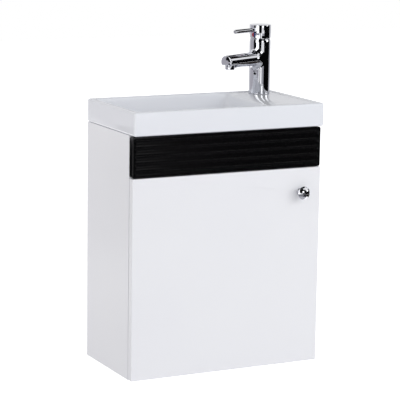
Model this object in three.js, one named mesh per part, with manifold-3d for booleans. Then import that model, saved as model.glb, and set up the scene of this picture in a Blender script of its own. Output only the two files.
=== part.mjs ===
// A small wall-hung cloakroom vanity unit: a white one-door cabinet with a black fluted fascia,
// a basin with its bowl on the left and a tap deck on the right, a single-lever mixer tap, and
// the waste fittings and bottle trap that hang below the bowl.
// Millimetres. +X runs to the right of someone facing the unit, +Y into the wall, +Z up.
// Sizes are worked out with z = 0 at the cabinet's underside and y = 0 on the wall; the finished
// group is then moved so that its origin is the middle of the hanging rail's wall face.

import * as THREE from 'three';
import { mergeVertices } from 'three/addons/utils/BufferGeometryUtils.js';
import Module from 'manifold-3d';

const wasm = await Module();
wasm.setup();

// Sizes shared by the whole unit
const fitGap = 0.3;
const overrun = 1;
const roundSides = 24;
const smallSides = 12;
const hexSides = 6;
const cornerSteps = 4;

// Cabinet
const cabinetWidth = 398;
const cabinetHeight = 465.7;
const carcassDepth = 195;
const boardThickness = 15;
const hangingRailHeight = 75;
const lowerRailHeight = 60;
const wallHoleRadius = 4;
const wallHoleFromSide = 45;

// Shelf and its pins
const shelfThickness = 12;
const shelfFrontSetback = 19.7;
const shelfHeightShare = 0.439;
const shelfSideGap = 0.8;
const pinRadius = 2.5;
const pinReach = 8;
const pinHoleDepth = 10;
const pinCollarRadius = 4.5;
const pinCollarThickness = 1.2;
const pinFromShelfEnd = 30;

// Cam locks that pull the sides onto the bottom panel
const camRadius = 7.5;
const camDepth = 12;
const camFromSide = 25;
const camFromEnd = 40;
const camSlotWidth = 1.5;
const camSlotDepth = 1.5;

// Fascia
const fasciaHeight = 77;
const fasciaThickness = 15;
const fasciaSideInset = 0.5;
const fasciaTopGap = 1.7;
const fluteDepth = 0.8;
const flutePitch = 14.7;
const firstFlute = 11.2;
const fluteSteps = 30;
const bracketLeg = 24;
const bracketThickness = 2;
const bracketWidth = 18;
const bracketBelowBowl = 8;

// Door
const doorThickness = 15;
const doorBackGap = 2;
const doorFoot = 1;
const doorFasciaGap = 2.5;

// Knob and its screw
const knobFromSide = 44;
const knobFromTop = 45;
const knobFootRadius = 7.5;
const knobFootThickness = 2;
const knobStemRadius = 5;
const knobHeadRadius = 12.5;
const knobHeadBack = 12;
const knobHeadRim = 3;
const knobHeight = 22;
const knobScrewRadius = 2;
const knobScrewHeadRadius = 4;
const knobScrewHeadThickness = 2.2;
const knobScrewDepth = 9;

// Concealed hinges: the effective pivot is inside the door's edge
const hingeFromDoorEnd = 80;
const hingePivotFromEdge = 5;
const hingePivotDepth = 8;
const cupFromEdge = 22.5;
const cupRadius = 17.5;
const cupDepth = 12;
const cupWall = 1.5;
const cupFlangeRadius = 20;
const cupFlangeThickness = 0.6;
const linkPivotAcross = 14;
const linkPivotBehind = 6;
const linkLength = 18;
const linkAngle = THREE.MathUtils.degToRad(-18);
const linkThickness = 1.6;
const linkWidth = 9;
const linkEyeRadius = 2.6;
const hingePinRadius = 1;
const armEyeRadius = 3;
const armEyeWidth = 4.4;
const armWidth = 12;
const armHeight = 7;
const plateThickness = 2;
const plateLength = 46;
const plateWidth = 40;
const plateBack = 10;

// Door bumpers
const bumperRadius = 4;
const bumperFromDoorEnd = 35;

// Basin
const basinSideOverhang = 1;
const basinFrontOverhang = 8;
const basinHeight = 45;
const basinCornerRadius = 7;
const basinTopRound = 3;
const basinFootRound = 1.5;
const skirtThickness = 12;
const rimWidth = 10;
const rimInnerRound = 1.2;
const deckRecess = 1.5;
const deckThickness = 12;
const deckWidth = 100;
const deckEdgeRound = 3;
const bowlDepth = 75;
const bowlWall = 9;
const bowlSideClearance = 1;
const bowlRightDraft = 8;
const bowlCornerRadius = 12;
const bowlFloorRound = 14;
const bowlFloorDraft = 7;
const bowlFloorCornerRadius = 34;

// Waste
const wasteFlangeRadius = 32;
const wasteFlangeThickness = 2.8;
const wasteFlangeRecess = 2.5;
const wasteTailRadius = 20.9;
const wasteBoreRadius = 16;
const wasteHoleClearance = 1.6;
const wasteTailLength = 56;
const wasteGuideRadius = 8;
const wasteGuideDepth = 34;
const wasteGuideHeight = 8;
const wasteSpokeWidth = 3;
const wasteSpokes = 3;
const plugRadius = 28;
const plugThickness = 3.5;
const plugCrown = 1.5;
const plugStemRadius = 4.5;
const plugStemOverlap = 4;
const gasketRadius = 30;
const gasketThickness = 3.4;
const backNutRadius = 29;
const backNutThickness = 10;

// Bottle trap and outlet
const trapNeckRadius = 19;
const trapCollarThickness = 3;
const trapNutRadius = 27;
const trapNutWall = 6;
const trapNutHeight = 24;
const trapNeckLength = 13;
const chamberRadius = 30;
const chamberWall = 2.6;
const chamberHeight = 61;
const dipTubeRadius = 16;
const dipTubeBore = 14;
const dipTubeBelowChamber = 52;
const cupTubeRadius = 29;
const cupTubeWall = 3;
const cupCollarRadius = 34;
const cupCollarHeight = 18;
const cupCollarOverlap = 17;
const cupLength = 80;
const outletRadius = 18;
const outletBore = 13.5;
const outletBelowTop = 22;
const outletReach = 50;
const pipeRadius = 16;
const outletNutRadius = 24;
const outletNutLength = 21;
const outletNutLip = 7;
const wallFlangeRadius = 33;
const wallFlangeThickness = 9;
const wallFlangeRim = 2;

// Tap
const tapFromRight = 45;
const tapFromWall = 38;
const tapTurn = THREE.MathUtils.degToRad(25);
const tapHoleRadius = 17.5;
const tapGasketThickness = 1;
const tapFootRadius = 22;
const tapFootHeight = 2.5;
const tapSpigotRadius = 16.8;
const tapSpigotDepth = 6;
const columnRadius = 21;
const columnWall = 4.5;
const columnBore = 17.8;
const capFootHeight = 111.1;
const capHeight = 25.9;
const capChamfer = 0.8;
const capLip = 1;
const tiltPivotDrop = 20.6;
const domeClearance = 0.36;
const domeBore = 13.5;
const domeSteps = 6;
const partitionBottom = 52.5;
const partitionTop = 64.5;
const inletRadius = 5;
const inletOffset = 11;
const spoutHeight = 70.5;
const spoutRadius = 13;
const spoutReach = 110;
const spoutChamfer = 0.8;
const spoutFlatDrop = 6.5;
const spoutFlatLength = 25.5;
const waterwayRadius = 6;
const aeratorRadius = 9.3;
const aeratorFromTip = 13.3;
const aeratorSeatDepth = 4.2;
const aeratorBelowSpout = 2.4;
const aeratorRoof = 1.5;
const aeratorWall = 1.6;
const grubRadius = 2;
const grubLength = 3.6;
const grubSunk = 0.6;
const grubHeight = 40.5;
const grubTurn = THREE.MathUtils.degToRad(36);

// Tap cartridge and handle
const cartridgeRadius = 17.3;
const rotorRadius = 11;
const rotorBelowPivot = 8;
const rotorAbovePivot = 7;
const rotorSlotHalf = 6.5;
const rotorSlotFloor = 4;
const stemWidth = 8;
const stemThickness = 7;
const stemTop = 40;
const leverHeight = 16.4;
const leverRadius = 3.5;
const leverReach = 83;
const leverRoot = 12;
const leverTipRound = 1.2;
const markHeight = 6.9;
const markRadius = 4.4;
const markThickness = 1.4;
const markProud = 0.3;

// Tap fixings under the deck
const studRadius = 4;
const studBelowDeck = 40;
const studThreadDepth = 7;
const clampRadius = 24;
const clampRubberThickness = 3;
const clampPlateThickness = 2.5;
const fixingNutRadius = 7.5;
const fixingNutThickness = 8;

// Places worked out from the sizes
const halfWidth = cabinetWidth / 2;
const innerHalf = halfWidth - boardThickness;
const doorBack = carcassDepth + doorBackGap;
const doorFront = doorBack + doorThickness;
const fasciaTop = cabinetHeight - fasciaTopGap;
const fasciaFoot = fasciaTop - fasciaHeight;
const doorTop = fasciaFoot - doorFasciaGap;
const basinHalf = halfWidth + basinSideOverhang;
const basinDepth = doorFront + basinFrontOverhang;
const basinFoot = cabinetHeight + fitGap;
const basinTop = basinFoot + basinHeight;
const deckTop = basinTop - deckRecess;
const deckUnderside = deckTop - deckThickness;
const bowlFloor = basinTop - bowlDepth;
const bowlUnderside = bowlFloor - bowlWall;
const railCentre = cabinetHeight - hangingRailHeight / 2;
const hingeHeights = [doorFoot + hingeFromDoorEnd, doorTop - hingeFromDoorEnd];
const flangeFoot = bowlFloor - wasteFlangeRecess + fitGap;
const flangeTop = flangeFoot + wasteFlangeThickness;
const tailFoot = flangeTop - wasteTailLength;
const collarTop = tailFoot - fitGap;
const chamberTop = collarTop - trapNeckLength;
const chamberFoot = chamberTop - chamberHeight;
const trapFoot = chamberFoot - cupLength;

// Finishes, by the real material of each piece
const finishes = {
  whiteLacquer: { color: 0xe9e9ee, roughness: 0.28, metalness: 0 },
  whiteBoard: { color: 0xe2e2e4, roughness: 0.55, metalness: 0 },
  blackLacquer: { color: 0x101012, roughness: 0.3, metalness: 0 },
  glazedCeramic: { color: 0xe4e5ec, roughness: 0.12, metalness: 0 },
  chrome: { color: 0xd6d7db, roughness: 0.06, metalness: 1 },
  zincSteel: { color: 0xb9bbbf, roughness: 0.35, metalness: 1 },
  brass: { color: 0xb8954a, roughness: 0.35, metalness: 1 },
  whitePlastic: { color: 0xdedfe2, roughness: 0.45, metalness: 0 },
  greyPlastic: { color: 0x8f949a, roughness: 0.5, metalness: 0 },
  blackRubber: { color: 0x1d1d1f, roughness: 0.8, metalness: 0 },
  hotRed: { color: 0xb3202c, roughness: 0.3, metalness: 0 },
  coldBlue: { color: 0x1f4fa8, roughness: 0.3, metalness: 0 },
};

// Solid modelling helpers

function signedVolume(points, faces) {
  const a = new THREE.Vector3();
  const b = new THREE.Vector3();
  const c = new THREE.Vector3();
  let volume = 0;
  for (let i = 0; i < faces.length; i += 3) {
    a.fromArray(points, 3 * faces[i]);
    b.fromArray(points, 3 * faces[i + 1]);
    c.fromArray(points, 3 * faces[i + 2]);
    volume += a.dot(b.cross(c));
  }
  return volume;
}

// A closed three.js geometry as a solid, with its faces turned outwards
function solid(geometry) {
  const bare = geometry.clone();
  bare.deleteAttribute('normal');
  bare.deleteAttribute('uv');
  const merged = mergeVertices(bare);
  const points = merged.attributes.position.array;
  const corners = merged.index.array;
  const faces = [];
  for (let i = 0; i < corners.length; i += 3) {
    const [a, b, c] = [corners[i], corners[i + 1], corners[i + 2]];
    if (a !== b && b !== c && c !== a) faces.push(a, b, c);
  }
  if (signedVolume(points, faces) < 0) faces.reverse();
  const vertProperties = Float32Array.from(points);
  const triVerts = Uint32Array.from(faces);
  return new wasm.Manifold(new wasm.Mesh({ numProp: 3, vertProperties, triVerts }));
}

function cut(body, ...tools) {
  return tools.reduce((rest, tool) => rest.subtract(tool), body);
}

function join(body, ...others) {
  return others.reduce((whole, other) => whole.add(other), body);
}

// A box between two opposite corners
function block(low, high) {
  const size = high.map((value, axis) => value - low[axis]);
  const middle = high.map((value, axis) => (value + low[axis]) / 2);
  return solid(new THREE.BoxGeometry(...size).translate(...middle));
}

// A straight round bar between two points
function rod(radius, from, to, sides = roundSides) {
  const start = new THREE.Vector3(...from);
  const run = new THREE.Vector3(...to).sub(start);
  const bar = new THREE.CylinderGeometry(radius, radius, run.length(), sides);
  const turn = new THREE.Quaternion().setFromUnitVectors(
    new THREE.Vector3(0, 1, 0), run.clone().normalize());
  const middle = start.add(run.multiplyScalar(1 / 2));
  return solid(bar.applyQuaternion(turn).translate(middle.x, middle.y, middle.z));
}

// A turned piece about the vertical line through (x, y); the profile is [radius, z] and closed
function turned(profile, x, y, sides = roundSides) {
  const closed = [...profile, profile[0]].map(([radius, z]) => new THREE.Vector2(radius, z));
  const body = new THREE.LatheGeometry(closed, sides).rotateX(Math.PI / 2);
  return solid(body.translate(x, y, 0));
}

// The same about the line through (x, z) that runs along y; the profile is [radius, y]
function turnedAlongY(profile, x, z, sides = roundSides) {
  const closed = [...profile, profile[0]].map(([radius, y]) => new THREE.Vector2(radius, y));
  return solid(new THREE.LatheGeometry(closed, sides).translate(x, 0, z));
}

// A plate cut to an outline of [x, y] points, from z to z + thickness
function plate(outline, z, thickness) {
  const shape = new THREE.Shape(outline.map(([x, y]) => new THREE.Vector2(x, y)));
  const body = new THREE.ExtrudeGeometry(shape, { depth: thickness, bevelEnabled: false });
  return solid(body.translate(0, 0, z));
}

// A level rectangle with round corners, as a ring of points
function roundedRing({ left, right, front, back, radius, z }) {
  const centres = [
    [right - radius, back - radius, 0],
    [left + radius, back - radius, 1],
    [left + radius, front + radius, 2],
    [right - radius, front + radius, 3],
  ];
  const ring = [];
  for (const [x, y, quarter] of centres) {
    for (let step = 0; step <= cornerSteps; step += 1) {
      const angle = (quarter + step / cornerSteps) * Math.PI / 2;
      ring.push([x + radius * Math.cos(angle), y + radius * Math.sin(angle), z]);
    }
  }
  return ring;
}

// A solid skinned over level rings that have the same number of points
function loft(rects) {
  const rings = rects.map(roundedRing);
  const count = rings[0].length;
  const faces = [];
  for (let level = 0; level + 1 < rings.length; level += 1) {
    for (let i = 0; i < count; i += 1) {
      const next = (i + 1) % count;
      const [a, b] = [level * count + i, level * count + next];
      faces.push(a, b, b + count, a, b + count, a + count);
    }
  }
  const last = (rings.length - 1) * count;
  for (let i = 1; i + 1 < count; i += 1) {
    faces.push(0, i + 1, i, last, last + i, last + i + 1);
  }
  const body = new THREE.BufferGeometry();
  body.setAttribute('position', new THREE.Float32BufferAttribute(rings.flat(2), 3));
  body.setIndex(faces);
  return solid(body);
}

// The same rectangle made larger all round, at another level
function grown(rect, extra, z) {
  return {
    left: rect.left - extra,
    right: rect.right + extra,
    front: rect.front - extra,
    back: rect.back + extra,
    radius: rect.radius + extra,
    z,
  };
}

// A hexagonal bar across the given corner radius, about a vertical line
function hexagon(radius, x, y, z0, z1) {
  return rod(radius, [x, y, z0], [x, y, z1], hexSides);
}

// The vanity unit, filled piece by piece
const unit = new THREE.Group();

function addPiece(name, body, finish) {
  const mesh = body.getMesh();
  const geometry = new THREE.BufferGeometry();
  geometry.setAttribute('position', new THREE.BufferAttribute(mesh.vertProperties, 3));
  geometry.setIndex(new THREE.BufferAttribute(mesh.triVerts, 1));
  geometry.computeVertexNormals();
  const piece = new THREE.Mesh(geometry, new THREE.MeshStandardMaterial(finish));
  piece.name = name;
  unit.add(piece);
}

// Carcass: two sides, a bottom panel and two rails along the wall

// The shelf lies between the lower hinge's plate and the foot of the trap
const plateCrest = hingeHeights[0] + plateWidth / 2;
const shelfMiddle = plateCrest + shelfHeightShare * (trapFoot - plateCrest);
const shelfUnderside = shelfMiddle - shelfThickness / 2;
const shelfPinHeight = shelfUnderside - fitGap - pinRadius;
const shelfBack = -boardThickness - fitGap;
const shelfFront = -carcassDepth + shelfFrontSetback;
const shelfPinPlaces = [shelfBack - pinFromShelfEnd, shelfFront + pinFromShelfEnd];

function sidePanel(side) {
  const inner = side * innerHalf;
  const outer = side * halfWidth;
  const panel = block(
    [Math.min(inner, outer), -carcassDepth, 0],
    [Math.max(inner, outer), 0, cabinetHeight]);
  const holes = shelfPinPlaces.map((y) => rod(
    pinRadius + fitGap,
    [inner - side * overrun, y, shelfPinHeight],
    [inner + side * pinHoleDepth, y, shelfPinHeight],
    smallSides));
  return cut(panel, ...holes);
}

const camPlaces = [-1, 1].flatMap((side) => [
  [side * (innerHalf - camFromSide), -camFromEnd],
  [side * (innerHalf - camFromSide), -carcassDepth + camFromEnd],
]);

function bottomPanel() {
  const width = innerHalf - fitGap;
  const panel = block([-width, -carcassDepth, 0], [width, 0, boardThickness]);
  const pockets = camPlaces.map(([x, y]) => rod(
    camRadius + fitGap, [x, y, -overrun], [x, y, camDepth + fitGap], smallSides));
  return cut(panel, ...pockets);
}

function camLock([x, y]) {
  const disc = rod(camRadius, [x, y, 0], [x, y, camDepth], smallSides);
  const slot = block(
    [x - camRadius, y - camSlotWidth / 2, -overrun],
    [x + camRadius, y + camSlotWidth / 2, camSlotDepth]);
  return cut(disc, slot);
}

function wallRail(foot, height) {
  const width = innerHalf - fitGap;
  return block([-width, -boardThickness, foot], [width, 0, foot + height]);
}

function hangingRail() {
  const holes = [-1, 1].map((side) => rod(
    wallHoleRadius,
    [side * (innerHalf - wallHoleFromSide), -boardThickness - overrun, railCentre],
    [side * (innerHalf - wallHoleFromSide), overrun, railCentre],
    smallSides));
  return cut(wallRail(cabinetHeight - hangingRailHeight, hangingRailHeight), ...holes);
}

function shelf() {
  const width = innerHalf - shelfSideGap;
  return block(
    [-width, shelfFront, shelfUnderside],
    [width, shelfBack, shelfUnderside + shelfThickness]);
}

function shelfPin(side, y) {
  const inner = side * innerHalf;
  const peg = rod(
    pinRadius,
    [inner + side * (pinHoleDepth - fitGap), y, shelfPinHeight],
    [inner - side * pinReach, y, shelfPinHeight],
    smallSides);
  const reachBelow = pinCollarRadius - pinRadius;
  const collar = block(
    [0, y - pinCollarRadius, shelfPinHeight - pinRadius - reachBelow],
    [pinCollarThickness, y + pinCollarRadius, shelfPinHeight + pinRadius]);
  const collarLeft = side < 0 ? inner + fitGap : inner - fitGap - pinCollarThickness;
  return join(peg, collar.translate([collarLeft, 0, 0]));
}

addPiece('side_panel_left', sidePanel(-1), finishes.whiteLacquer);
addPiece('side_panel_right', sidePanel(1), finishes.whiteLacquer);
addPiece('bottom_panel', bottomPanel(), finishes.whiteBoard);
addPiece('hanging_rail', hangingRail(), finishes.whiteBoard);
addPiece('lower_rail', wallRail(boardThickness + fitGap, lowerRailHeight), finishes.whiteBoard);
addPiece('shelf', shelf(), finishes.whiteBoard);
camPlaces.forEach((place, index) => {
  addPiece(`cam_lock_${index + 1}`, camLock(place), finishes.zincSteel);
});
[-1, 1].forEach((side) => {
  shelfPinPlaces.forEach((y, index) => {
    const sideName = side < 0 ? 'left' : 'right';
    const placeName = index === 0 ? 'back' : 'front';
    addPiece(`shelf_pin_${sideName}_${placeName}`, shelfPin(side, y), finishes.zincSteel);
  });
});

// Fascia: a board with shallow waves along it, held to the sides by two angle brackets

const fasciaBack = carcassDepth + fitGap;
const fasciaFront = fasciaBack + fasciaThickness;

// How deep the wavy front lies at a distance below the fascia's top: flat, then wave by wave
function fluteDepthAt(fromTop) {
  const turns = (fromTop - firstFlute) / flutePitch;
  const shareDeep = turns < -1 / 2 ? 0 : (1 + Math.cos(2 * Math.PI * turns)) / 2;
  return fluteDepth * shareDeep;
}

function fasciaBoard() {
  const outline = [[-fasciaBack, fasciaFoot]];
  for (let step = fluteSteps; step >= 0; step -= 1) {
    const fromTop = fasciaHeight * step / fluteSteps;
    outline.push([fluteDepthAt(fromTop) - fasciaFront, fasciaTop - fromTop]);
  }
  outline.push([-fasciaBack, fasciaTop]);
  const width = halfWidth - fasciaSideInset;
  const shape = new THREE.Shape(outline.map(([y, z]) => new THREE.Vector2(y, z)));
  const board = new THREE.ExtrudeGeometry(shape, { depth: 2 * width, bevelEnabled: false });
  const upright = new THREE.Matrix4().makeBasis(
    new THREE.Vector3(0, 1, 0), new THREE.Vector3(0, 0, 1), new THREE.Vector3(1, 0, 0));
  return solid(board.applyMatrix4(upright).translate(-width, 0, 0));
}

const bracketTop = bowlUnderside - bracketBelowBowl;

function fasciaBracket(side) {
  const edge = innerHalf - fitGap;
  const front = -carcassDepth;
  const outline = [
    [edge, front],
    [edge, front + bracketLeg],
    [edge - bracketThickness, front + bracketLeg],
    [edge - bracketThickness, front + bracketThickness],
    [edge - bracketLeg, front + bracketThickness],
    [edge - bracketLeg, front],
  ].map(([x, y]) => [side * x, y]);
  return plate(outline, bracketTop - bracketWidth, bracketWidth);
}

addPiece('fascia_panel', fasciaBoard(), finishes.blackLacquer);
addPiece('fascia_bracket_left', fasciaBracket(-1), finishes.zincSteel);
addPiece('fascia_bracket_right', fasciaBracket(1), finishes.zincSteel);

// Door with its cup pockets, knob and bumpers

const cupX = -halfWidth + cupFromEdge;
const knobX = halfWidth - knobFromSide;
const knobZ = doorTop - knobFromTop;

function doorBoard() {
  const board = block([-halfWidth, -doorFront, doorFoot], [halfWidth, -doorBack, doorTop]);
  const pockets = hingeHeights.map((z) => rod(
    cupRadius + fitGap, [cupX, -doorBack + overrun, z], [cupX, -doorBack - cupDepth - fitGap, z]));
  const screwHole = rod(
    knobScrewRadius + fitGap, [knobX, -doorFront - overrun, knobZ],
    [knobX, -doorBack + overrun, knobZ], smallSides);
  return cut(board, ...pockets, screwHole);
}

const knobBack = -doorFront - fitGap;

function knob() {
  const headBack = knobBack - knobHeadBack;
  const rim = headBack - knobHeadRim;
  const face = knobBack - knobHeight;
  const crownStart = knobHeadRadius * Math.cos(Math.PI / 6);
  const crownMiddle = knobHeadRadius * Math.cos(Math.PI / 3);
  const body = turnedAlongY([
    [0, knobBack],
    [knobFootRadius, knobBack],
    [knobFootRadius, knobBack - knobFootThickness],
    [knobStemRadius, knobBack - 2 * knobFootThickness],
    [knobStemRadius, headBack + knobFootThickness],
    [(knobStemRadius + knobHeadRadius) / 2, headBack],
    [knobHeadRadius, rim],
    [crownStart, rim + (face - rim) / 2],
    [crownMiddle, rim + (face - rim) * Math.cos(Math.PI / 6)],
    [0, face],
  ], knobX, knobZ);
  const screwHole = rod(
    knobScrewRadius + fitGap, [knobX, knobBack + overrun, knobZ],
    [knobX, knobBack - knobScrewDepth - fitGap, knobZ], smallSides);
  return cut(body, screwHole);
}

function knobScrew() {
  const head = -doorBack + fitGap;
  return join(
    rod(knobScrewRadius, [knobX, head + overrun, knobZ], [knobX, knobBack - knobScrewDepth, knobZ],
      smallSides),
    rod(knobScrewHeadRadius, [knobX, head, knobZ], [knobX, head + knobScrewHeadThickness, knobZ],
      smallSides));
}

function bumper(z) {
  const x = innerHalf + boardThickness / 2;
  return rod(
    bumperRadius, [x, -carcassDepth - fitGap, z], [x, -doorBack + fitGap, z], smallSides);
}

addPiece('door', doorBoard(), finishes.whiteLacquer);
addPiece('door_knob', knob(), finishes.chrome);
addPiece('knob_screw', knobScrew(), finishes.zincSteel);
addPiece('door_bumper_lower', bumper(doorFoot + bumperFromDoorEnd), finishes.blackRubber);
addPiece('door_bumper_upper', bumper(doorTop - bumperFromDoorEnd), finishes.blackRubber);

// Concealed hinges: plate and arm on the left side, cup in the door, a link between them

const pivotX = -halfWidth + hingePivotFromEdge;
const pivotY = -doorBack - hingePivotDepth;
const linkX = pivotX + linkPivotAcross;
const linkY = pivotY + linkPivotBehind;

function hingeCup(z) {
  const back = -doorBack;
  const flangeBack = back + fitGap;
  const floor = back - cupDepth;
  return turnedAlongY([
    [0, floor],
    [cupRadius, floor],
    [cupRadius, flangeBack],
    [cupFlangeRadius, flangeBack],
    [cupFlangeRadius, flangeBack + cupFlangeThickness],
    [cupRadius - cupWall, flangeBack + cupFlangeThickness],
    [cupRadius - cupWall, floor + cupWall],
    [0, floor + cupWall],
  ], cupX, z);
}

function hingePlate(z) {
  const inner = -innerHalf + fitGap;
  const front = -carcassDepth + plateBack;
  return block(
    [inner, front, z - plateWidth / 2],
    [inner + plateThickness, front + plateLength, z + plateWidth / 2]);
}

// The arm lies on its plate and reaches out to an eye just inside the cup
function hingeArm(z) {
  const under = -innerHalf + 2 * fitGap + plateThickness;
  const top = under + armHeight;
  const front = -carcassDepth + plateBack;
  const eye = rod(
    armEyeRadius, [linkX, linkY, z - armEyeWidth / 2], [linkX, linkY, z + armEyeWidth / 2],
    smallSides);
  const bar = plate([
    [under, front + plateLength],
    [under, front],
    [top, front],
    [top, front + plateLength],
  ], z - armWidth / 2, armWidth);
  const nose = plate([
    [under, front + armEyeWidth],
    [under, front],
    [linkX - armEyeRadius, linkY],
    [linkX + armEyeRadius, linkY],
    [top, front],
    [top, front + armEyeWidth],
  ], z - armEyeWidth / 2, armEyeWidth);
  const hole = rod(
    hingePinRadius + fitGap, [linkX, linkY, z - armWidth], [linkX, linkY, z + armWidth],
    smallSides);
  return cut(join(bar, nose, eye), hole);
}

function hingePin(z) {
  return rod(
    hingePinRadius, [linkX, linkY, z - linkWidth / 2], [linkX, linkY, z + linkWidth / 2],
    smallSides);
}

// The link straddles the arm's eye with two cheeks and runs on into the cup as a web
function hingeLink(z) {
  const across = [Math.cos(linkAngle), Math.sin(linkAngle)];
  const square = [-across[1], across[0]];
  const at = (along, aside) => [
    linkX + along * across[0] + aside * square[0],
    linkY + along * across[1] + aside * square[1],
  ];
  const half = linkThickness / 2;
  const webStart = armEyeRadius + fitGap;
  const strip = (from, to, low, height) => plate(
    [at(from, -half), at(to, -half), at(to, half), at(from, half)], low, height);
  const web = strip(webStart, linkLength, z - linkWidth / 2, linkWidth);
  const cheekThickness = (linkWidth - armEyeWidth) / 2 - fitGap;
  const eyes = [z - linkWidth / 2, z + linkWidth / 2 - cheekThickness].map((low) => join(
    strip(0, webStart + overrun, low, cheekThickness),
    rod(linkEyeRadius, [linkX, linkY, low], [linkX, linkY, low + cheekThickness], smallSides)));
  const hole = rod(
    hingePinRadius + fitGap, [linkX, linkY, z - linkWidth], [linkX, linkY, z + linkWidth],
    smallSides);
  return cut(join(web, ...eyes), hole);
}

hingeHeights.forEach((z, index) => {
  const place = index === 0 ? 'lower' : 'upper';
  addPiece(`hinge_plate_${place}`, hingePlate(z), finishes.zincSteel);
  addPiece(`hinge_arm_${place}`, hingeArm(z), finishes.zincSteel);
  addPiece(`hinge_pin_${place}`, hingePin(z), finishes.zincSteel);
  addPiece(`hinge_link_${place}`, hingeLink(z), finishes.zincSteel);
  addPiece(`hinge_cup_${place}`, hingeCup(z), finishes.zincSteel);
});

// Basin: a slab with a hollow underside, a bowl that drops between the rails, and a tap deck

const slab = {
  left: -basinHalf,
  right: basinHalf,
  front: -basinDepth,
  back: 0,
  radius: basinCornerRadius,
};
const deck = grown({ ...slab, radius: bowlCornerRadius + rimWidth }, -rimWidth, deckTop);
const bowlMouth = { ...deck, right: basinHalf - deckWidth };
const bowlWaist = {
  left: -innerHalf + bowlSideClearance + bowlWall,
  right: bowlMouth.right - bowlRightDraft,
  front: -carcassDepth + bowlSideClearance + bowlWall,
  back: -boardThickness - bowlSideClearance - bowlWall,
  radius: (bowlCornerRadius + bowlFloorCornerRadius) / 2,
  z: basinFoot,
};
// How far in from its two ends a fillet's middle point lies, as a share of its radius
const turnShare = 1 - Math.SQRT1_2;
const bowlHeel = {
  ...grown(bowlWaist, -bowlFloorDraft, bowlFloor + bowlFloorRound),
  radius: bowlFloorCornerRadius,
};
const bowlTurn = grown(
  bowlHeel, -bowlFloorRound * turnShare, bowlFloor + bowlFloorRound * turnShare);
const bowlBase = grown(bowlHeel, -bowlFloorRound, bowlFloor);
const wasteX = (bowlBase.left + bowlBase.right) / 2;
const wasteY = (bowlBase.front + bowlBase.back) / 2;
const tapX = basinHalf - tapFromRight;
const tapY = -tapFromWall;

// The bowl's outer wall, carried up until it is inside the deck
function bowlOutside() {
  const inSlab = deckUnderside + deckThickness / 4;
  const shareDown = (deckTop - inSlab) / (deckTop - basinFoot);
  const between = (key) => bowlMouth[key] + (bowlWaist[key] - bowlMouth[key]) * shareDown;
  const shoulder = {
    left: between('left'),
    right: between('right'),
    front: between('front'),
    back: between('back'),
    radius: between('radius'),
  };
  return loft([
    grown(bowlBase, 0, bowlUnderside),
    grown(bowlTurn, bowlWall * Math.SQRT1_2, bowlTurn.z - bowlWall * Math.SQRT1_2),
    grown(bowlHeel, bowlWall, bowlHeel.z),
    grown(bowlWaist, bowlWall, bowlWaist.z),
    grown(shoulder, bowlWall, inSlab),
  ]);
}

function bowlInside() {
  const lipped = { ...bowlMouth, right: bowlMouth.right + deckEdgeRound };
  return loft([
    bowlBase,
    bowlTurn,
    bowlHeel,
    bowlWaist,
    { ...bowlMouth, z: deckTop - deckEdgeRound },
    { ...lipped, z: deckTop },
    { ...lipped, z: basinTop + overrun },
  ]);
}

function deckRecessCut() {
  const lip = rimInnerRound + overrun;
  return loft([
    deck,
    { ...deck, z: basinTop - rimInnerRound },
    grown(deck, rimInnerRound, basinTop),
    grown(deck, lip, basinTop + overrun),
  ]);
}

function basin() {
  const slabBody = loft([
    grown(slab, -basinFootRound, basinFoot),
    grown(slab, 0, basinFoot + basinFootRound),
    grown(slab, 0, basinTop - basinTopRound),
    grown(slab, -basinTopRound * (1 - Math.cos(Math.PI / 6)), basinTop - basinTopRound / 2),
    grown(slab, -basinTopRound * (1 - Math.cos(Math.PI / 3)),
      basinTop - basinTopRound * (1 - Math.sin(Math.PI / 3))),
    grown(slab, -basinTopRound, basinTop),
  ]);
  const underside = block(
    [-basinHalf + skirtThickness, -basinDepth + skirtThickness, basinFoot - overrun],
    [basinHalf - skirtThickness, -skirtThickness, deckUnderside]);
  const wasteHole = rod(
    wasteTailRadius + wasteHoleClearance, [wasteX, wasteY, bowlUnderside - overrun],
    [wasteX, wasteY, bowlFloor + overrun]);
  const flangeSeat = rod(
    wasteFlangeRadius + wasteHoleClearance, [wasteX, wasteY, bowlFloor - wasteFlangeRecess],
    [wasteX, wasteY, bowlFloor + overrun]);
  const tapHole = rod(
    tapHoleRadius, [tapX, tapY, deckUnderside - overrun], [tapX, tapY, deckTop + overrun]);
  const body = join(cut(slabBody, underside), bowlOutside());
  return cut(body, deckRecessCut(), bowlInside(), wasteHole, flangeSeat, tapHole);
}

addPiece('basin', basin(), finishes.glazedCeramic);

// Waste: flange with its threaded tail, guide and spokes, plug, gasket and back nut

const guideTop = flangeTop - wasteGuideDepth;
const guideFoot = guideTop - wasteGuideHeight;

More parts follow.
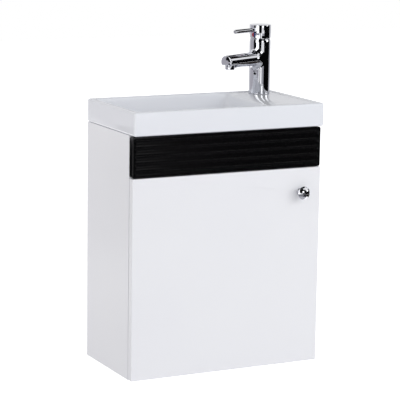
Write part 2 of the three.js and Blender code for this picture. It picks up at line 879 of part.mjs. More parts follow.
function wasteFlange() {
  const shell = turned([
    [wasteBoreRadius, tailFoot],
    [wasteTailRadius, tailFoot],
    [wasteTailRadius, flangeFoot],
    [wasteFlangeRadius, flangeFoot],
    [wasteFlangeRadius, flangeTop - wasteFlangeThickness / 2],
    [wasteFlangeRadius - wasteFlangeThickness / 2, flangeTop],
    [wasteBoreRadius, flangeTop],
  ], wasteX, wasteY);
  const guide = rod(
    wasteGuideRadius, [wasteX, wasteY, guideFoot], [wasteX, wasteY, guideTop], smallSides);
  const spokes = Array.from({ length: wasteSpokes }, (_, index) => {
    const reach = wasteBoreRadius + overrun;
    const spoke = block(
      [0, -wasteSpokeWidth / 2, guideFoot], [reach, wasteSpokeWidth / 2, guideTop]);
    return spoke.rotate([0, 0, index * 360 / wasteSpokes]).translate([wasteX, wasteY, 0]);
  });
  const stemHole = rod(
    plugStemRadius + fitGap, [wasteX, wasteY, guideFoot - overrun],
    [wasteX, wasteY, guideTop + overrun], smallSides);
  return cut(join(shell, guide, ...spokes), stemHole);
}

const plugFoot = flangeTop + fitGap;

function wastePlug() {
  const stemFoot = guideFoot - plugStemOverlap;
  return turned([
    [0, stemFoot],
    [plugStemRadius, stemFoot],
    [plugStemRadius, plugFoot],
    [plugRadius, plugFoot],
    [plugRadius, plugFoot + plugThickness - plugCrown],
    [plugRadius * Math.cos(Math.PI / 6), plugFoot + plugThickness - plugCrown / 2],
    [0, plugFoot + plugThickness],
  ], wasteX, wasteY);
}

const gasketTop = bowlUnderside - fitGap;
const gasketFoot = gasketTop - gasketThickness;
const backNutTop = gasketFoot - fitGap;

function wasteGasket() {
  return turned([
    [wasteTailRadius + fitGap, gasketFoot],
    [gasketRadius, gasketFoot],
    [gasketRadius, gasketTop],
    [wasteTailRadius + fitGap, gasketTop],
  ], wasteX, wasteY);
}

function backNut() {
  const foot = backNutTop - backNutThickness;
  const bore = rod(
    wasteTailRadius + fitGap, [wasteX, wasteY, foot - overrun],
    [wasteX, wasteY, backNutTop + overrun]);
  return cut(hexagon(backNutRadius, wasteX, wasteY, foot, backNutTop), bore);
}

addPiece('waste_flange', wasteFlange(), finishes.chrome);
addPiece('waste_plug', wastePlug(), finishes.chrome);
addPiece('waste_gasket', wasteGasket(), finishes.blackRubber);
addPiece('waste_nut', backNut(), finishes.whitePlastic);

// Bottle trap below the tail, with its outlet running back to the wall

const collarFoot = collarTop - trapCollarThickness;
const nutLipTop = collarFoot - fitGap;
const nutFoot = nutLipTop - trapNutWall;
const outletZ = chamberTop - outletBelowTop;
const outletEnd = wasteY + outletReach;

function trapInletNut() {
  const top = nutFoot + trapNutHeight;
  return turned([
    [trapNeckRadius + fitGap, nutFoot],
    [trapNutRadius, nutFoot],
    [trapNutRadius, top],
    [wasteTailRadius + fitGap, top],
    [wasteTailRadius + fitGap, nutLipTop],
    [trapNeckRadius + fitGap, nutLipTop],
  ], wasteX, wasteY);
}

function trapBody() {
  const roof = chamberTop - chamberWall;
  const tubeFoot = chamberFoot - dipTubeBelowChamber;
  const shell = turned([
    [dipTubeBore, tubeFoot],
    [dipTubeRadius, tubeFoot],
    [dipTubeRadius, roof],
    [chamberRadius - chamberWall, roof],
    [chamberRadius - chamberWall, chamberFoot],
    [chamberRadius, chamberFoot],
    [chamberRadius, chamberTop - chamberWall],
    [chamberRadius - chamberWall, chamberTop],
    [trapNeckRadius, chamberTop],
    [trapNeckRadius, collarFoot],
    [wasteTailRadius, collarFoot],
    [wasteTailRadius, collarTop],
    [wasteBoreRadius, collarTop],
    [wasteBoreRadius, chamberTop],
    [dipTubeBore, roof],
  ], wasteX, wasteY);
  const stub = rod(
    outletRadius, [wasteX, wasteY + dipTubeRadius, outletZ], [wasteX, outletEnd, outletZ]);
  const bore = rod(
    outletBore, [wasteX, wasteY + dipTubeRadius + overrun, outletZ],
    [wasteX, outletEnd + overrun, outletZ]);
  const chamberSpace = rod(
    chamberRadius - chamberWall, [wasteX, wasteY, chamberFoot], [wasteX, wasteY, roof]);
  return cut(join(shell, cut(stub, chamberSpace)), bore);
}

function trapCup() {
  const collarCrest = chamberFoot + cupCollarOverlap;
  const seat = chamberFoot - fitGap;
  const bore = cupTubeRadius - cupTubeWall;
  return turned([
    [0, trapFoot],
    [cupTubeRadius - 2 * cupTubeWall, trapFoot],
    [cupTubeRadius, trapFoot + 2 * cupTubeWall],
    [cupTubeRadius, collarCrest - cupCollarHeight - cupTubeWall],
    [cupCollarRadius, collarCrest - cupCollarHeight],
    [cupCollarRadius, collarCrest],
    [chamberRadius + fitGap, collarCrest],
    [chamberRadius + fitGap, seat],
    [bore, seat],
    [bore, trapFoot + 2 * cupTubeWall],
    [bore - cupTubeWall, trapFoot + cupTubeWall],
    [0, trapFoot + cupTubeWall],
  ], wasteX, wasteY);
}

const pipeStart = outletEnd + fitGap;

function trapOutletNut() {
  const end = pipeStart + outletNutLip;
  return turnedAlongY([
    [outletRadius + fitGap, end - outletNutLength],
    [outletNutRadius, end - outletNutLength],
    [outletNutRadius, end],
    [pipeRadius + fitGap, end],
    [pipeRadius + fitGap, pipeStart],
    [outletRadius + fitGap, pipeStart],
  ], wasteX, outletZ);
}

function outletPipe() {
  return turnedAlongY([
    [outletBore, pipeStart],
    [pipeRadius, pipeStart],
    [pipeRadius, 0],
    [outletBore, 0],
  ], wasteX, outletZ);
}

function wallFlange() {
  return turnedAlongY([
    [pipeRadius + fitGap, -wallFlangeThickness],
    [pipeRadius + fitGap + wallFlangeRim, -wallFlangeThickness],
    [wallFlangeRadius, -wallFlangeRim],
    [wallFlangeRadius, 0],
    [pipeRadius + fitGap, 0],
  ], wasteX, outletZ);
}

addPiece('trap_inlet_nut', trapInletNut(), finishes.whitePlastic);
addPiece('trap_body', trapBody(), finishes.whitePlastic);
addPiece('trap_cup', trapCup(), finishes.whitePlastic);
addPiece('trap_outlet_nut', trapOutletNut(), finishes.whitePlastic);
addPiece('outlet_pipe', outletPipe(), finishes.whitePlastic);
addPiece('wall_flange', wallFlange(), finishes.whitePlastic);

// Tap: heights below are above the deck; pieces are made with the spout along -X and turned after

const tapFoot = deckTop + 2 * fitGap + tapGasketThickness;
const capFoot = deckTop + capFootHeight;
const capTop = capFoot + capHeight;
const pivotZ = capFoot - tiltPivotDrop;
const lipRadius = columnRadius - capLip;
const capSphere = Math.hypot(lipRadius, tiltPivotDrop);
const domeSphere = capSphere - domeClearance;
const spoutZ = deckTop + spoutHeight;
const partition = [deckTop + partitionBottom, deckTop + partitionTop];
const spoutFlat = spoutZ - spoutFlatDrop;
const spoutFoot = spoutZ - spoutRadius;
const aeratorX = -spoutReach + aeratorFromTip;
const leverZ = capFoot + leverHeight;
const markZ = capFoot + markHeight;
const grubZ = deckTop + grubHeight;

// A piece made about the column's axis, with the spout along -X, put in its place
function onTap(body) {
  return body.rotate([0, 0, THREE.MathUtils.radToDeg(tapTurn)]).translate([tapX, tapY, 0]);
}

// A piece made along -X, turned round the column to where the grub screw is
function atGrub(body) {
  return body.rotate([0, 0, THREE.MathUtils.radToDeg(grubTurn - tapTurn)]);
}

function heightOnSphere(sphere, radius) {
  return pivotZ + Math.sqrt(sphere * sphere - radius * radius);
}

// Points along a sphere about the tilt pivot, from one radius to another
function domeArc(sphere, fromRadius, toRadius) {
  return Array.from({ length: domeSteps + 1 }, (_, step) => {
    const radius = fromRadius + (toRadius - fromRadius) * step / domeSteps;
    return [radius, heightOnSphere(sphere, radius)];
  });
}

function tapShell() {
  const column = turned([
    [0, tapFoot],
    [tapFootRadius, tapFoot],
    [tapFootRadius, tapFoot + tapFootHeight],
    [columnRadius, tapFoot + tapFootHeight],
    ...domeArc(domeSphere, columnRadius, columnBore),
    [0, heightOnSphere(domeSphere, columnBore)],
  ], 0, 0);
  const spigot = rod(tapSpigotRadius, [0, 0, tapFoot - tapSpigotDepth], [0, 0, tapFoot + overrun]);
  const spout = turned([
    [0, 0],
    [spoutRadius, 0],
    [spoutRadius, spoutReach - spoutChamfer],
    [spoutRadius - spoutChamfer, spoutReach],
    [0, spoutReach],
  ], 0, 0).rotate([0, -90, 0]).translate([0, 0, spoutZ]);
  return join(column, spigot, spout);
}

function tapBody() {
  const cartridgeWell = rod(columnBore, [0, 0, partition[1]], [0, 0, capTop]);
  const wellFoot = tapFoot + tapFootHeight;
  const lowerWell = rod(columnRadius - columnWall, [0, 0, wellFoot], [0, 0, partition[0]]);
  const spigotWell = rod(
    tapSpigotRadius - columnWall / 2, [0, 0, tapFoot - tapSpigotDepth - overrun],
    [0, 0, wellFoot + overrun]);
  const inlets = [-1, 1].map((side) => rod(
    inletRadius, [0, side * inletOffset, partition[0] - overrun],
    [0, side * inletOffset, partition[1] + overrun], smallSides));
  const studHole = rod(
    studRadius + fitGap, [0, 0, partition[0] - overrun],
    [0, 0, partition[0] + studThreadDepth + fitGap], smallSides);
  const flat = block(
    [-spoutReach - overrun, -spoutRadius - overrun, spoutFoot - overrun],
    [-spoutReach + spoutFlatLength, spoutRadius + overrun, spoutFlat]);
  const aeratorSeat = rod(
    aeratorRadius + fitGap, [aeratorX, 0, spoutFoot - overrun],
    [aeratorX, 0, spoutFlat + aeratorSeatDepth + fitGap]);
  const drop = rod(waterwayRadius, [aeratorX, 0, spoutFlat], [aeratorX, 0, spoutZ], smallSides);
  const waterway = rod(
    waterwayRadius, [aeratorX - waterwayRadius, 0, spoutZ],
    [-cartridgeRadius + overrun, 0, spoutZ], smallSides);
  const grubHole = atGrub(rod(
    grubRadius + fitGap, [-columnRadius - overrun, 0, grubZ],
    [-columnRadius + columnWall + overrun, 0, grubZ], smallSides));
  return onTap(cut(
    tapShell(), cartridgeWell, lowerWell, spigotWell, ...inlets, studHole, flat, aeratorSeat,
    drop, waterway, grubHole));
}

function tapGasket() {
  const foot = deckTop + fitGap;
  return turned([
    [tapHoleRadius, foot],
    [columnRadius, foot],
    [columnRadius, foot + tapGasketThickness],
    [tapHoleRadius, foot + tapGasketThickness],
  ], tapX, tapY);
}

function aerator() {
  const foot = spoutFoot - aeratorBelowSpout;
  const top = spoutFlat + aeratorSeatDepth;
  return onTap(turned([
    [0, top - aeratorRoof],
    [aeratorRadius - aeratorWall, top - aeratorRoof],
    [aeratorRadius - aeratorWall, foot],
    [aeratorRadius, foot],
    [aeratorRadius, top],
    [0, top],
  ], aeratorX, 0));
}

function bodyGrubScrew() {
  const outer = -columnRadius + grubSunk;
  const screw = rod(grubRadius, [outer, 0, grubZ], [outer + grubLength, 0, grubZ], smallSides);
  const socket = rod(
    grubRadius / 2, [outer - overrun, 0, grubZ], [outer + grubLength / 2, 0, grubZ], hexSides);
  return onTap(atGrub(cut(screw, socket)));
}

const rotorFoot = pivotZ - rotorBelowPivot;
const rotorTop = pivotZ + rotorAbovePivot;
const housingTop = rotorTop + fitGap;

function cartridgeHousing() {
  const foot = partition[1] + fitGap;
  return onTap(turned([
    [0, foot],
    [cartridgeRadius, foot],
    [cartridgeRadius, housingTop],
    [rotorRadius + fitGap, housingTop],
    [rotorRadius + fitGap, rotorFoot - fitGap],
    [0, rotorFoot - fitGap],
  ], 0, 0));
}

function cartridgeNut() {
  const outer = columnBore - fitGap;
  return onTap(turned([
    [domeBore, housingTop + fitGap],
    [outer, housingTop + fitGap],
    ...domeArc(domeSphere, outer, domeBore),
  ], 0, 0));
}

function cartridgeRotor() {
  const disc = rod(rotorRadius, [0, 0, rotorFoot], [0, 0, rotorTop]);
  const halfSlot = stemWidth / 2 + fitGap;
  const slot = block(
    [-rotorSlotHalf, -halfSlot, pivotZ - rotorSlotFloor],
    [rotorSlotHalf, halfSlot, rotorTop + overrun]);
  return onTap(cut(disc, slot));
}

// The stem's round foot is centred on the tilt pivot
function cartridgeStem() {
  const half = stemThickness / 2;
  const foot = rod(half, [0, -stemWidth / 2, pivotZ], [0, stemWidth / 2, pivotZ], smallSides);
  const bar = block([-half, -stemWidth / 2, pivotZ], [half, stemWidth / 2, pivotZ + stemTop]);
  return onTap(join(foot, bar));
}

function handleCap() {
  const lump = turned([
    [0, capFoot],
    [columnRadius, capFoot],
    [columnRadius, capTop - capChamfer],
    [columnRadius - capChamfer, capTop],
    [0, capTop],
  ], 0, 0);
  const underDome = turned([
    [0, capFoot - overrun],
    [lipRadius, capFoot - overrun],
    ...domeArc(capSphere, lipRadius, 0),
  ], 0, 0);
  const halfSocket = [stemThickness / 2 + fitGap, stemWidth / 2 + fitGap];
  const socket = block(
    [-halfSocket[0], -halfSocket[1], capFoot],
    [halfSocket[0], halfSocket[1], pivotZ + stemTop + fitGap]);
  const leverHole = rod(
    leverRadius + fitGap, [-columnRadius - overrun, 0, leverZ],
    [-leverRoot + fitGap, 0, leverZ], smallSides);
  const markHole = rod(
    markRadius + fitGap, [-columnRadius - overrun, 0, markZ],
    [-columnRadius + markThickness - markProud + fitGap, 0, markZ]);
  return onTap(cut(lump, underDome, socket, leverHole, markHole));
}

function leverPin() {
  return onTap(turned([
    [0, leverRoot],
    [leverRadius, leverRoot],
    [leverRadius, leverReach - leverTipRound],
    [leverRadius - leverTipRound, leverReach],
    [0, leverReach],
  ], 0, 0, smallSides).rotate([0, -90, 0]).translate([0, 0, leverZ]));
}

// One half of the round temperature mark; the hot half is to the left of someone at the spout
function temperatureMark(side) {
  const outer = -columnRadius - markProud;
  const disc = rod(markRadius, [outer, 0, markZ], [outer + markThickness, 0, markZ]);
  const half = block(
    [outer - overrun, side < 0 ? -markRadius - overrun : fitGap / 2, markZ - markRadius - overrun],
    [outer + markThickness + overrun, side < 0 ? -fitGap / 2 : markRadius + overrun,
      markZ + markRadius + overrun]);
  return onTap(disc.intersect(half));
}

addPiece('tap_body', tapBody(), finishes.chrome);
addPiece('tap_gasket', tapGasket(), finishes.blackRubber);
addPiece('aerator', aerator(), finishes.chrome);
addPiece('body_grub_screw', bodyGrubScrew(), finishes.zincSteel);
addPiece('cartridge_housing', cartridgeHousing(), finishes.whitePlastic);
addPiece('cartridge_nut', cartridgeNut(), finishes.chrome);
addPiece('cartridge_rotor', cartridgeRotor(), finishes.greyPlastic);
addPiece('cartridge_stem', cartridgeStem(), finishes.brass);
addPiece('handle_cap', handleCap(), finishes.chrome);
addPiece('lever_pin', leverPin(), finishes.chrome);
addPiece('hot_mark', temperatureMark(1), finishes.hotRed);
addPiece('cold_mark', temperatureMark(-1), finishes.coldBlue);

// Tap fixings: a stud screwed into the body, horseshoe clamps and a nut below the deck

const studFoot = deckTop - studBelowDeck;
const rubberTop = deckUnderside - fitGap;
const rubberFoot = rubberTop - clampRubberThickness;
const clampTop = rubberFoot - fitGap;
const clampFoot = clampTop - clampPlateThickness;
const nutTop = clampFoot - fitGap;

function fixingStud() {
  return rod(
    studRadius, [tapX, tapY, studFoot], [tapX, tapY, partition[0] + studThreadDepth], smallSides);
}

// A horseshoe: a disc with a slot from the stud's hole out to one side
function horseshoe(foot, top) {
  const disc = rod(clampRadius, [tapX, tapY, foot], [tapX, tapY, top]);
  const reach = clampRadius + overrun;
  const half = studRadius + fitGap;
  const slot = block(
    [tapX, tapY - half, foot - overrun], [tapX + reach, tapY + half, top + overrun]);
  const hole = rod(
    studRadius + fitGap, [tapX, tapY, foot - overrun], [tapX, tapY, top + overrun], smallSides);
  const supplies = [-1, 1].map((side) => rod(
    inletRadius + fitGap, [tapX, tapY + side * inletOffset, foot - overrun],
    [tapX, tapY + side * inletOffset, top + overrun], smallSides));
  return cut(disc, slot, hole, ...supplies);
}

function fixingNut() {
  const foot = nutTop - fixingNutThickness;
  const bore = rod(
    studRadius + fitGap, [tapX, tapY, foot - overrun], [tapX, tapY, nutTop + overrun],
    smallSides);
  return cut(hexagon(fixingNutRadius, tapX, tapY, foot, nutTop), bore);
}

addPiece('fixing_stud', fixingStud(), finishes.zincSteel);
addPiece('clamp_washer', horseshoe(rubberFoot, rubberTop), finishes.blackRubber);
addPiece('clamp_plate', horseshoe(clampFoot, clampTop), finishes.zincSteel);
addPiece('fixing_nut', fixingNut(), finishes.brass);

// The origin is the middle of the hanging rail's wall face
unit.position.set(0, 0, -railCentre);

export default unit;
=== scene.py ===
"""Dressed model of a small wall-hung cloakroom vanity unit.

A white lacquered cabinet with one door and a black fluted fascia carries a glazed
basin, a chrome single-lever tap, and the waste and bottle trap under the bowl.
Sizes are in millimetres, measured from the cabinet's underside, its middle and its
back, and are turned into the frame's metres where a mesh is made.
"""

import logging
import math
from collections.abc import Callable, Sequence
from dataclasses import dataclass, field
from enum import Enum

import bmesh
import bpy
import numpy as np
from mathutils import Matrix, Vector


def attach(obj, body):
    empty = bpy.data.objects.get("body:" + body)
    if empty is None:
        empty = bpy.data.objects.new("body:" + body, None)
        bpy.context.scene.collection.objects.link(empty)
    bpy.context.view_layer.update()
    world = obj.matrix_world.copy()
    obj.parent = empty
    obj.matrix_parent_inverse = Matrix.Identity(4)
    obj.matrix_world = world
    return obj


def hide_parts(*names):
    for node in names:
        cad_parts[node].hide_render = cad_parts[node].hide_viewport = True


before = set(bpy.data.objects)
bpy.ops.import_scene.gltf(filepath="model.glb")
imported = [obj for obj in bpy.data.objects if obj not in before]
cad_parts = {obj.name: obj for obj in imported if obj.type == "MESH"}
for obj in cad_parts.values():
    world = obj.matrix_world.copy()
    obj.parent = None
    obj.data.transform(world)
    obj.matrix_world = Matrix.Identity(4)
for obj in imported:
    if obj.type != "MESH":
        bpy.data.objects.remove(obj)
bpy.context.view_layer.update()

LOG = logging.getLogger("vanity_unit")

MM = 0.001
UNDERSIDE = -428.2
WASTE_AXIS = (-41.0, -105.0)
TAP_AXIS = (155.0, -38.0)
# Turn in degrees above which an edge is shown sharp
CREASE = 38.0
# Radius below which a point of an outline lies on the axis
ON_AXIS = 1e-6
# Distance that never wins against another one in a larger-of choice
DEEP_INSIDE = -1e3
WHITE = "#FFFFFF"
# Divides the scale of turned rings
RING_SPREAD = 6.28
COAT_ROUGHNESS = 0.04
# Points closer than this are one point, and faces thinner than a sliver are dropped
DOUBLED_MM = 0.004
SLIVER_MM = 0.002
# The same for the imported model's nodes, and the turn in degrees from which edges are eased
WELD_MM = 0.003
EASE_TURN = 50.0

Pair = tuple[float, float]
Outline = list[Pair]
Faces = list[list[int]]
Part = tuple[list[Vector], Faces]
Heights = Callable[[np.ndarray, np.ndarray], np.ndarray]
Distance = Callable[[np.ndarray], np.ndarray]


class Body(Enum):
    """The bodies that made pieces ride on; a kept node rides on its own."""

    CABINET = "cabinet"
    DOOR = "door"
    PLUG = "waste_plug"
    HANDLE = "tap_handle"


class Surface(Enum):
    """How a finish's surface was made, which sets the form of its fine relief."""

    SPRAYED = "sprayed"
    PRESSED = "pressed"
    GLAZED = "glazed"
    PLATED = "plated"
    MOULDED = "moulded"
    TURNED = "turned"


def linear(colour: str) -> tuple[float, float, float, float]:
    """Turns an sRGB hex colour into the linear colour that shaders take.

    Args:
        colour: Six hex digits with a leading hash.

    Returns:
        Red, green and blue in linear light, and full opacity.
    """
    parts = [int(colour[i:i + 2], 16) / 255 for i in (1, 3, 5)]
    light = [c / 12.92 if c <= 0.04045 else ((c + 0.055) / 1.055) ** 2.4 for c in parts]
    return (light[0], light[1], light[2], 1.0)


def add_node(
    tree: bpy.types.NodeTree, kind: str, inputs: dict[int | str, object] | None = None,
    **settings: object,
) -> bpy.types.Node:
    """Adds a node with its settings, and sets or links its inputs.

    Args:
        tree: Node tree that gets the node.
        kind: Blender's type name of the node.
        inputs: Value or output socket for each input, by name or place.
        **settings: Attributes of the node itself.

    Returns:
        The new node.
    """
    node = tree.nodes.new(kind)
    for name, value in settings.items():
        setattr(node, name, value)
    for key, value in (inputs or {}).items():
        if isinstance(value, bpy.types.NodeSocket):
            tree.links.new(value, node.inputs[key])
        else:
            node.inputs[key].default_value = value
    return node


def fresh_tree(owner: bpy.types.Material | bpy.types.World) -> bpy.types.NodeTree:
    """Empties the node tree of a new material or world.

    Args:
        owner: The material or world.

    Returns:
        Its node tree, without nodes.
    """
    owner.use_nodes = True
    owner.node_tree.nodes.clear()
    return owner.node_tree


def link(made: bpy.types.Object) -> bpy.types.Object:
    """Puts a new object into the scene and gives it back."""
    bpy.context.scene.collection.objects.link(made)
    return made


@dataclass(frozen=True)
class Finish:
    """One real material and how its surface was made."""

    name: str
    slot: str
    surface: Surface
    colour: str
    shade: str
    roughness: float
    roughness_spread: float
    grain_mm: float
    relief_mm: float
    cloud_mm: float
    metallic: float = 0.0
    ior: float = 1.5
    coat: float = 0.0

    def material(self) -> bpy.types.Material:
        """Gives the Blender material, made on the first call."""
        made = bpy.data.materials.get(self.name)
        return made if made else self.build()

    def relief(
        self, tree: bpy.types.NodeTree, place: bpy.types.NodeSocket,
    ) -> bpy.types.NodeSocket:
        """Adds the pattern of fine relief that the surface's making leaves.

        Args:
            tree: Node tree of the material.
            place: Output that gives the point on the piece, in metres.

        Returns:
            Output with the height of the pattern, from 0 to 1.
        """
        per_metre = 1 / (self.grain_mm * MM)
        if self.surface is Surface.PRESSED:
            cells = add_node(tree, "ShaderNodeTexVoronoi", {
                "Vector": place, "Scale": per_metre, "Smoothness": 0.6}, feature="SMOOTH_F1")
            return cells.outputs["Distance"]
        if self.surface is Surface.TURNED:
            rings = add_node(tree, "ShaderNodeTexWave", {
                "Vector": place, "Scale": per_metre / RING_SPREAD, "Distortion": 1.5,
                "Detail": 2.0}, wave_type="BANDS", bands_direction="Z")
            return rings.outputs["Fac"]
        detail = {Surface.SPRAYED: 1.0, Surface.GLAZED: 0.0, Surface.PLATED: 3.0}
        noise = add_node(tree, "ShaderNodeTexNoise", {
            "Vector": place, "Scale": per_metre,
            "Detail": detail.get(self.surface, 4.0), "Roughness": 0.5})
        return noise.outputs["Fac"]

    def build(self) -> bpy.types.Material:
        """Makes the material's nodes: colour, roughness and relief from its patterns.

        Returns:
            The new material.
        """
        material = bpy.data.materials.new(self.name)
        tree = fresh_tree(material)
        place = add_node(tree, "ShaderNodeTexCoord").outputs["Object"]
        cloud = add_node(tree, "ShaderNodeTexNoise", {
            "Vector": place, "Scale": 1 / (self.cloud_mm * MM), "Detail": 1.5,
            "Roughness": 0.45}).outputs["Fac"]
        spread = add_node(tree, "ShaderNodeMapRange", {
            "Value": cloud, "From Min": 0.2, "From Max": 0.8},
            interpolation_type="SMOOTHERSTEP").outputs["Result"]
        colour = add_node(tree, "ShaderNodeMix", {
            "Factor": spread, 6: linear(self.colour), 7: linear(self.shade)},
            data_type="RGBA").outputs[2]
        roughness = add_node(tree, "ShaderNodeMapRange", {
            "Value": spread,
            "To Min": self.roughness - self.roughness_spread,
            "To Max": self.roughness + self.roughness_spread}).outputs["Result"]
        bump = add_node(tree, "ShaderNodeBump", {
            "Height": self.relief(tree, place), "Strength": 1.0,
            "Distance": self.relief_mm * MM})
        shader = add_node(tree, "ShaderNodeBsdfPrincipled", {
            "Base Color": colour, "Roughness": roughness, "Normal": bump.outputs["Normal"],
            "Metallic": self.metallic, "IOR": self.ior})
        if self.coat:
            shader.inputs["Coat Weight"].default_value = self.coat
            shader.inputs["Coat Roughness"].default_value = COAT_ROUGHNESS
        add_node(tree, "ShaderNodeOutputMaterial", {"Surface": shader.outputs["BSDF"]})
        return material


# Polyurethane lacquer sprayed on board. It gives a soft even sheen with a faint
# orange peel; the real peel is about 1.5 mm, drawn at 4 mm so that it shows.
WHITE_LACQUER = Finish(
    "white_polyurethane_lacquer_sprayed", "white_lacquer", Surface.SPRAYED,
    "#EDEEF2", "#EBECF1", 0.31, 0.02, 4.0, 0.005, 300.0)

# The same lacquer in black over a deep ground coat. It gives near-black bands with
# narrow glints where the flutes turn to the light.
BLACK_LACQUER = Finish(
    "black_polyurethane_lacquer_sprayed", "black_lacquer", Surface.SPRAYED,
    "#080809", "#070708", 0.15, 0.015, 4.0, 0.003, 60.0)

# Melamine paper pressed on chipboard between pearl-textured plates. It gives a duller
# white with a fine pebbled light; the pearl is about 1 mm, drawn at 1.6 mm.
WHITE_MELAMINE = Finish(
    "white_melamine_board_pressed", "white_board", Surface.PRESSED,
    "#E3E3E5", "#DEDEE1", 0.46, 0.05, 1.6, 0.03, 90.0)

# Vitreous china, fired white under a clear glaze. It gives a cool white with sharp
# reflections that bend a little where the glaze pooled, over about 35 mm.
GLAZED_CHINA = Finish(
    "white_vitreous_china_glazed", "glazed_ceramic", Surface.GLAZED,
    "#E9EBF1", "#E7EAF0", 0.07, 0.02, 35.0, 0.02, 160.0, ior=1.52)

# Chromium plated on polished brass. It gives a cool mirror with a trace of haze.
CHROME = Finish(
    "chromium_plate_polished", "chrome", Surface.PLATED,
    "#DEDFE4", "#D6D7DC", 0.045, 0.012, 6.0, 0.0006, 30.0, metallic=1.0)

# Zinc plated on pressed steel. It gives a grey metal with a slightly mottled shine.
ZINC_STEEL = Finish(
    "zinc_plated_steel_pressed", "zinc_steel", Surface.PLATED,
    "#BDBFC3", "#A6A9AF", 0.36, 0.07, 1.2, 0.004, 8.0, metallic=1.0)

# Black oxide on a hardened steel screw. It gives a near-black, slightly oily metal.
OXIDE_STEEL = Finish(
    "black_oxide_steel", "zinc_steel", Surface.PLATED,
    "#17171A", "#101012", 0.4, 0.04, 1.2, 0.003, 20.0, metallic=1.0)

# Brass left as turned. It gives a warm metal with fine rings from the tool.
TURNED_BRASS = Finish(
    "brass_turned", "brass", Surface.TURNED,
    "#C3A257", "#B08F47", 0.34, 0.05, 0.8, 0.01, 12.0, metallic=1.0)

# Polypropylene moulded in a spark-eroded tool. It gives a waxy white, finely matt.
WHITE_PLASTIC = Finish(
    "white_polypropylene_moulded", "white_plastic", Surface.MOULDED,
    "#E2E3E5", "#DADBDE", 0.4, 0.05, 0.9, 0.01, 25.0, ior=1.49)

# Acetal moulded. It gives a plain grey with a low even shine.
GREY_PLASTIC = Finish(
    "grey_acetal_moulded", "grey_plastic", Surface.MOULDED,
    "#92979D", "#878C93", 0.42, 0.05, 0.9, 0.01, 20.0, ior=1.48)

# EPDM rubber, moulded and cured. It gives a dull soft black.
BLACK_RUBBER = Finish(
    "black_epdm_rubber_moulded", "black_rubber", Surface.MOULDED,
    "#222224", "#1A1A1C", 0.78, 0.06, 1.0, 0.02, 15.0, ior=1.5)

# Enamel filled into the round temperature mark, then polished flush. It gives a small
# dot of deep colour under a glossy skin, half red and half blue.
HOT_ENAMEL = Finish(
    "red_enamel_filled", "hot_red", Surface.GLAZED,
    "#A81C28", "#98141F", 0.2, 0.03, 3.0, 0.004, 3.0, coat=0.5)
COLD_ENAMEL = Finish(
    "blue_enamel_filled", "cold_blue", Surface.GLAZED,
    "#173A7C", "#143066", 0.2, 0.03, 3.0, 0.004, 3.0, coat=0.5)


def tidy_mesh(mesh: bpy.types.Mesh) -> None:
    """Joins doubled points, drops empty faces and turns every face outwards.

    Args:
        mesh: Mesh to tidy, in metres.
    """
    work = bmesh.new()
    work.from_mesh(mesh)
    bmesh.ops.remove_doubles(work, verts=work.verts, dist=DOUBLED_MM * MM)
    bmesh.ops.dissolve_degenerate(work, edges=work.edges, dist=SLIVER_MM * MM)
    bmesh.ops.recalc_face_normals(work, faces=work.faces)
    work.to_mesh(mesh)
    work.free()


def new_object(
    name: str, points: Sequence[Sequence[float]], faces: Sequence[Sequence[int]],
    crease: float = CREASE,
) -> bpy.types.Object:
    """Makes a smooth-shaded object with sharp edges where faces turn far.

    Args:
        name: Name of the piece.
        points: Points in millimetres from the cabinet's underside.
        faces: Point numbers of each face.
        crease: Turn in degrees above which an edge is shown sharp.

    Returns:
        The new object, in the frame's metres.
    """
    mesh = bpy.data.meshes.new(name)
    placed = np.asarray(points, dtype=float) + (0, 0, UNDERSIDE)
    mesh.from_pydata((placed * MM).tolist(), [], [list(f) for f in faces])
    tidy_mesh(mesh)
    mesh.shade_smooth()
    mesh.set_sharp_from_angle(angle=math.radians(crease))
    return link(bpy.data.objects.new(name, mesh))


def settle(
    piece: bpy.types.Object, body: Body, finish: Finish, *nodes: str,
) -> bpy.types.Object:
    """Gives a piece its finish and body, and hides the nodes that it stands for.

    Args:
        piece: The made piece.
        body: Body that it rides on.
        finish: Its finish.
        *nodes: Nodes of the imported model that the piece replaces.

    Returns:
        The same piece.
    """
    piece.data.materials.clear()
    piece.data.materials.append(finish.material())
    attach(piece, body.value)
    if nodes:
        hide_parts(*nodes)
    LOG.info("%s: %d faces, %s", piece.name, len(piece.data.polygons), finish.name)
    return piece


def ease_edges(target: bpy.types.Object, edge_mm: float) -> None:
    """Rounds the edges of a faceted board or fitting.

    Args:
        target: The piece.
        edge_mm: Width of the eased edge.
    """
    weld = target.modifiers.new("joined_points", "WELD")
    weld.merge_threshold = WELD_MM * MM
    ease = target.modifiers.new("eased_edges", "BEVEL")
    ease.width = edge_mm * MM
    ease.segments = 3
    ease.limit_method = "ANGLE"
    ease.angle_limit = math.radians(EASE_TURN)
    ease.use_clamp_overlap = True
    ease.harden_normals = True


def dress_node(name: str, finish: Finish, edge_mm: float = 0.0) -> None:
    """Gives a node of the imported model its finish, and eases its edges.

    Args:
        name: Name of the node.
        finish: Its finish.
        edge_mm: Width of the eased edge, or 0 to leave the edges.
    """
    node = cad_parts[name]
    if not node.material_slots:
        node.data.materials.append(finish.material())
    for place in node.material_slots:
        place.material = finish.material()
    if edge_mm:
        ease_edges(node, edge_mm)
    LOG.info("%s: kept, %s", name, finish.name)


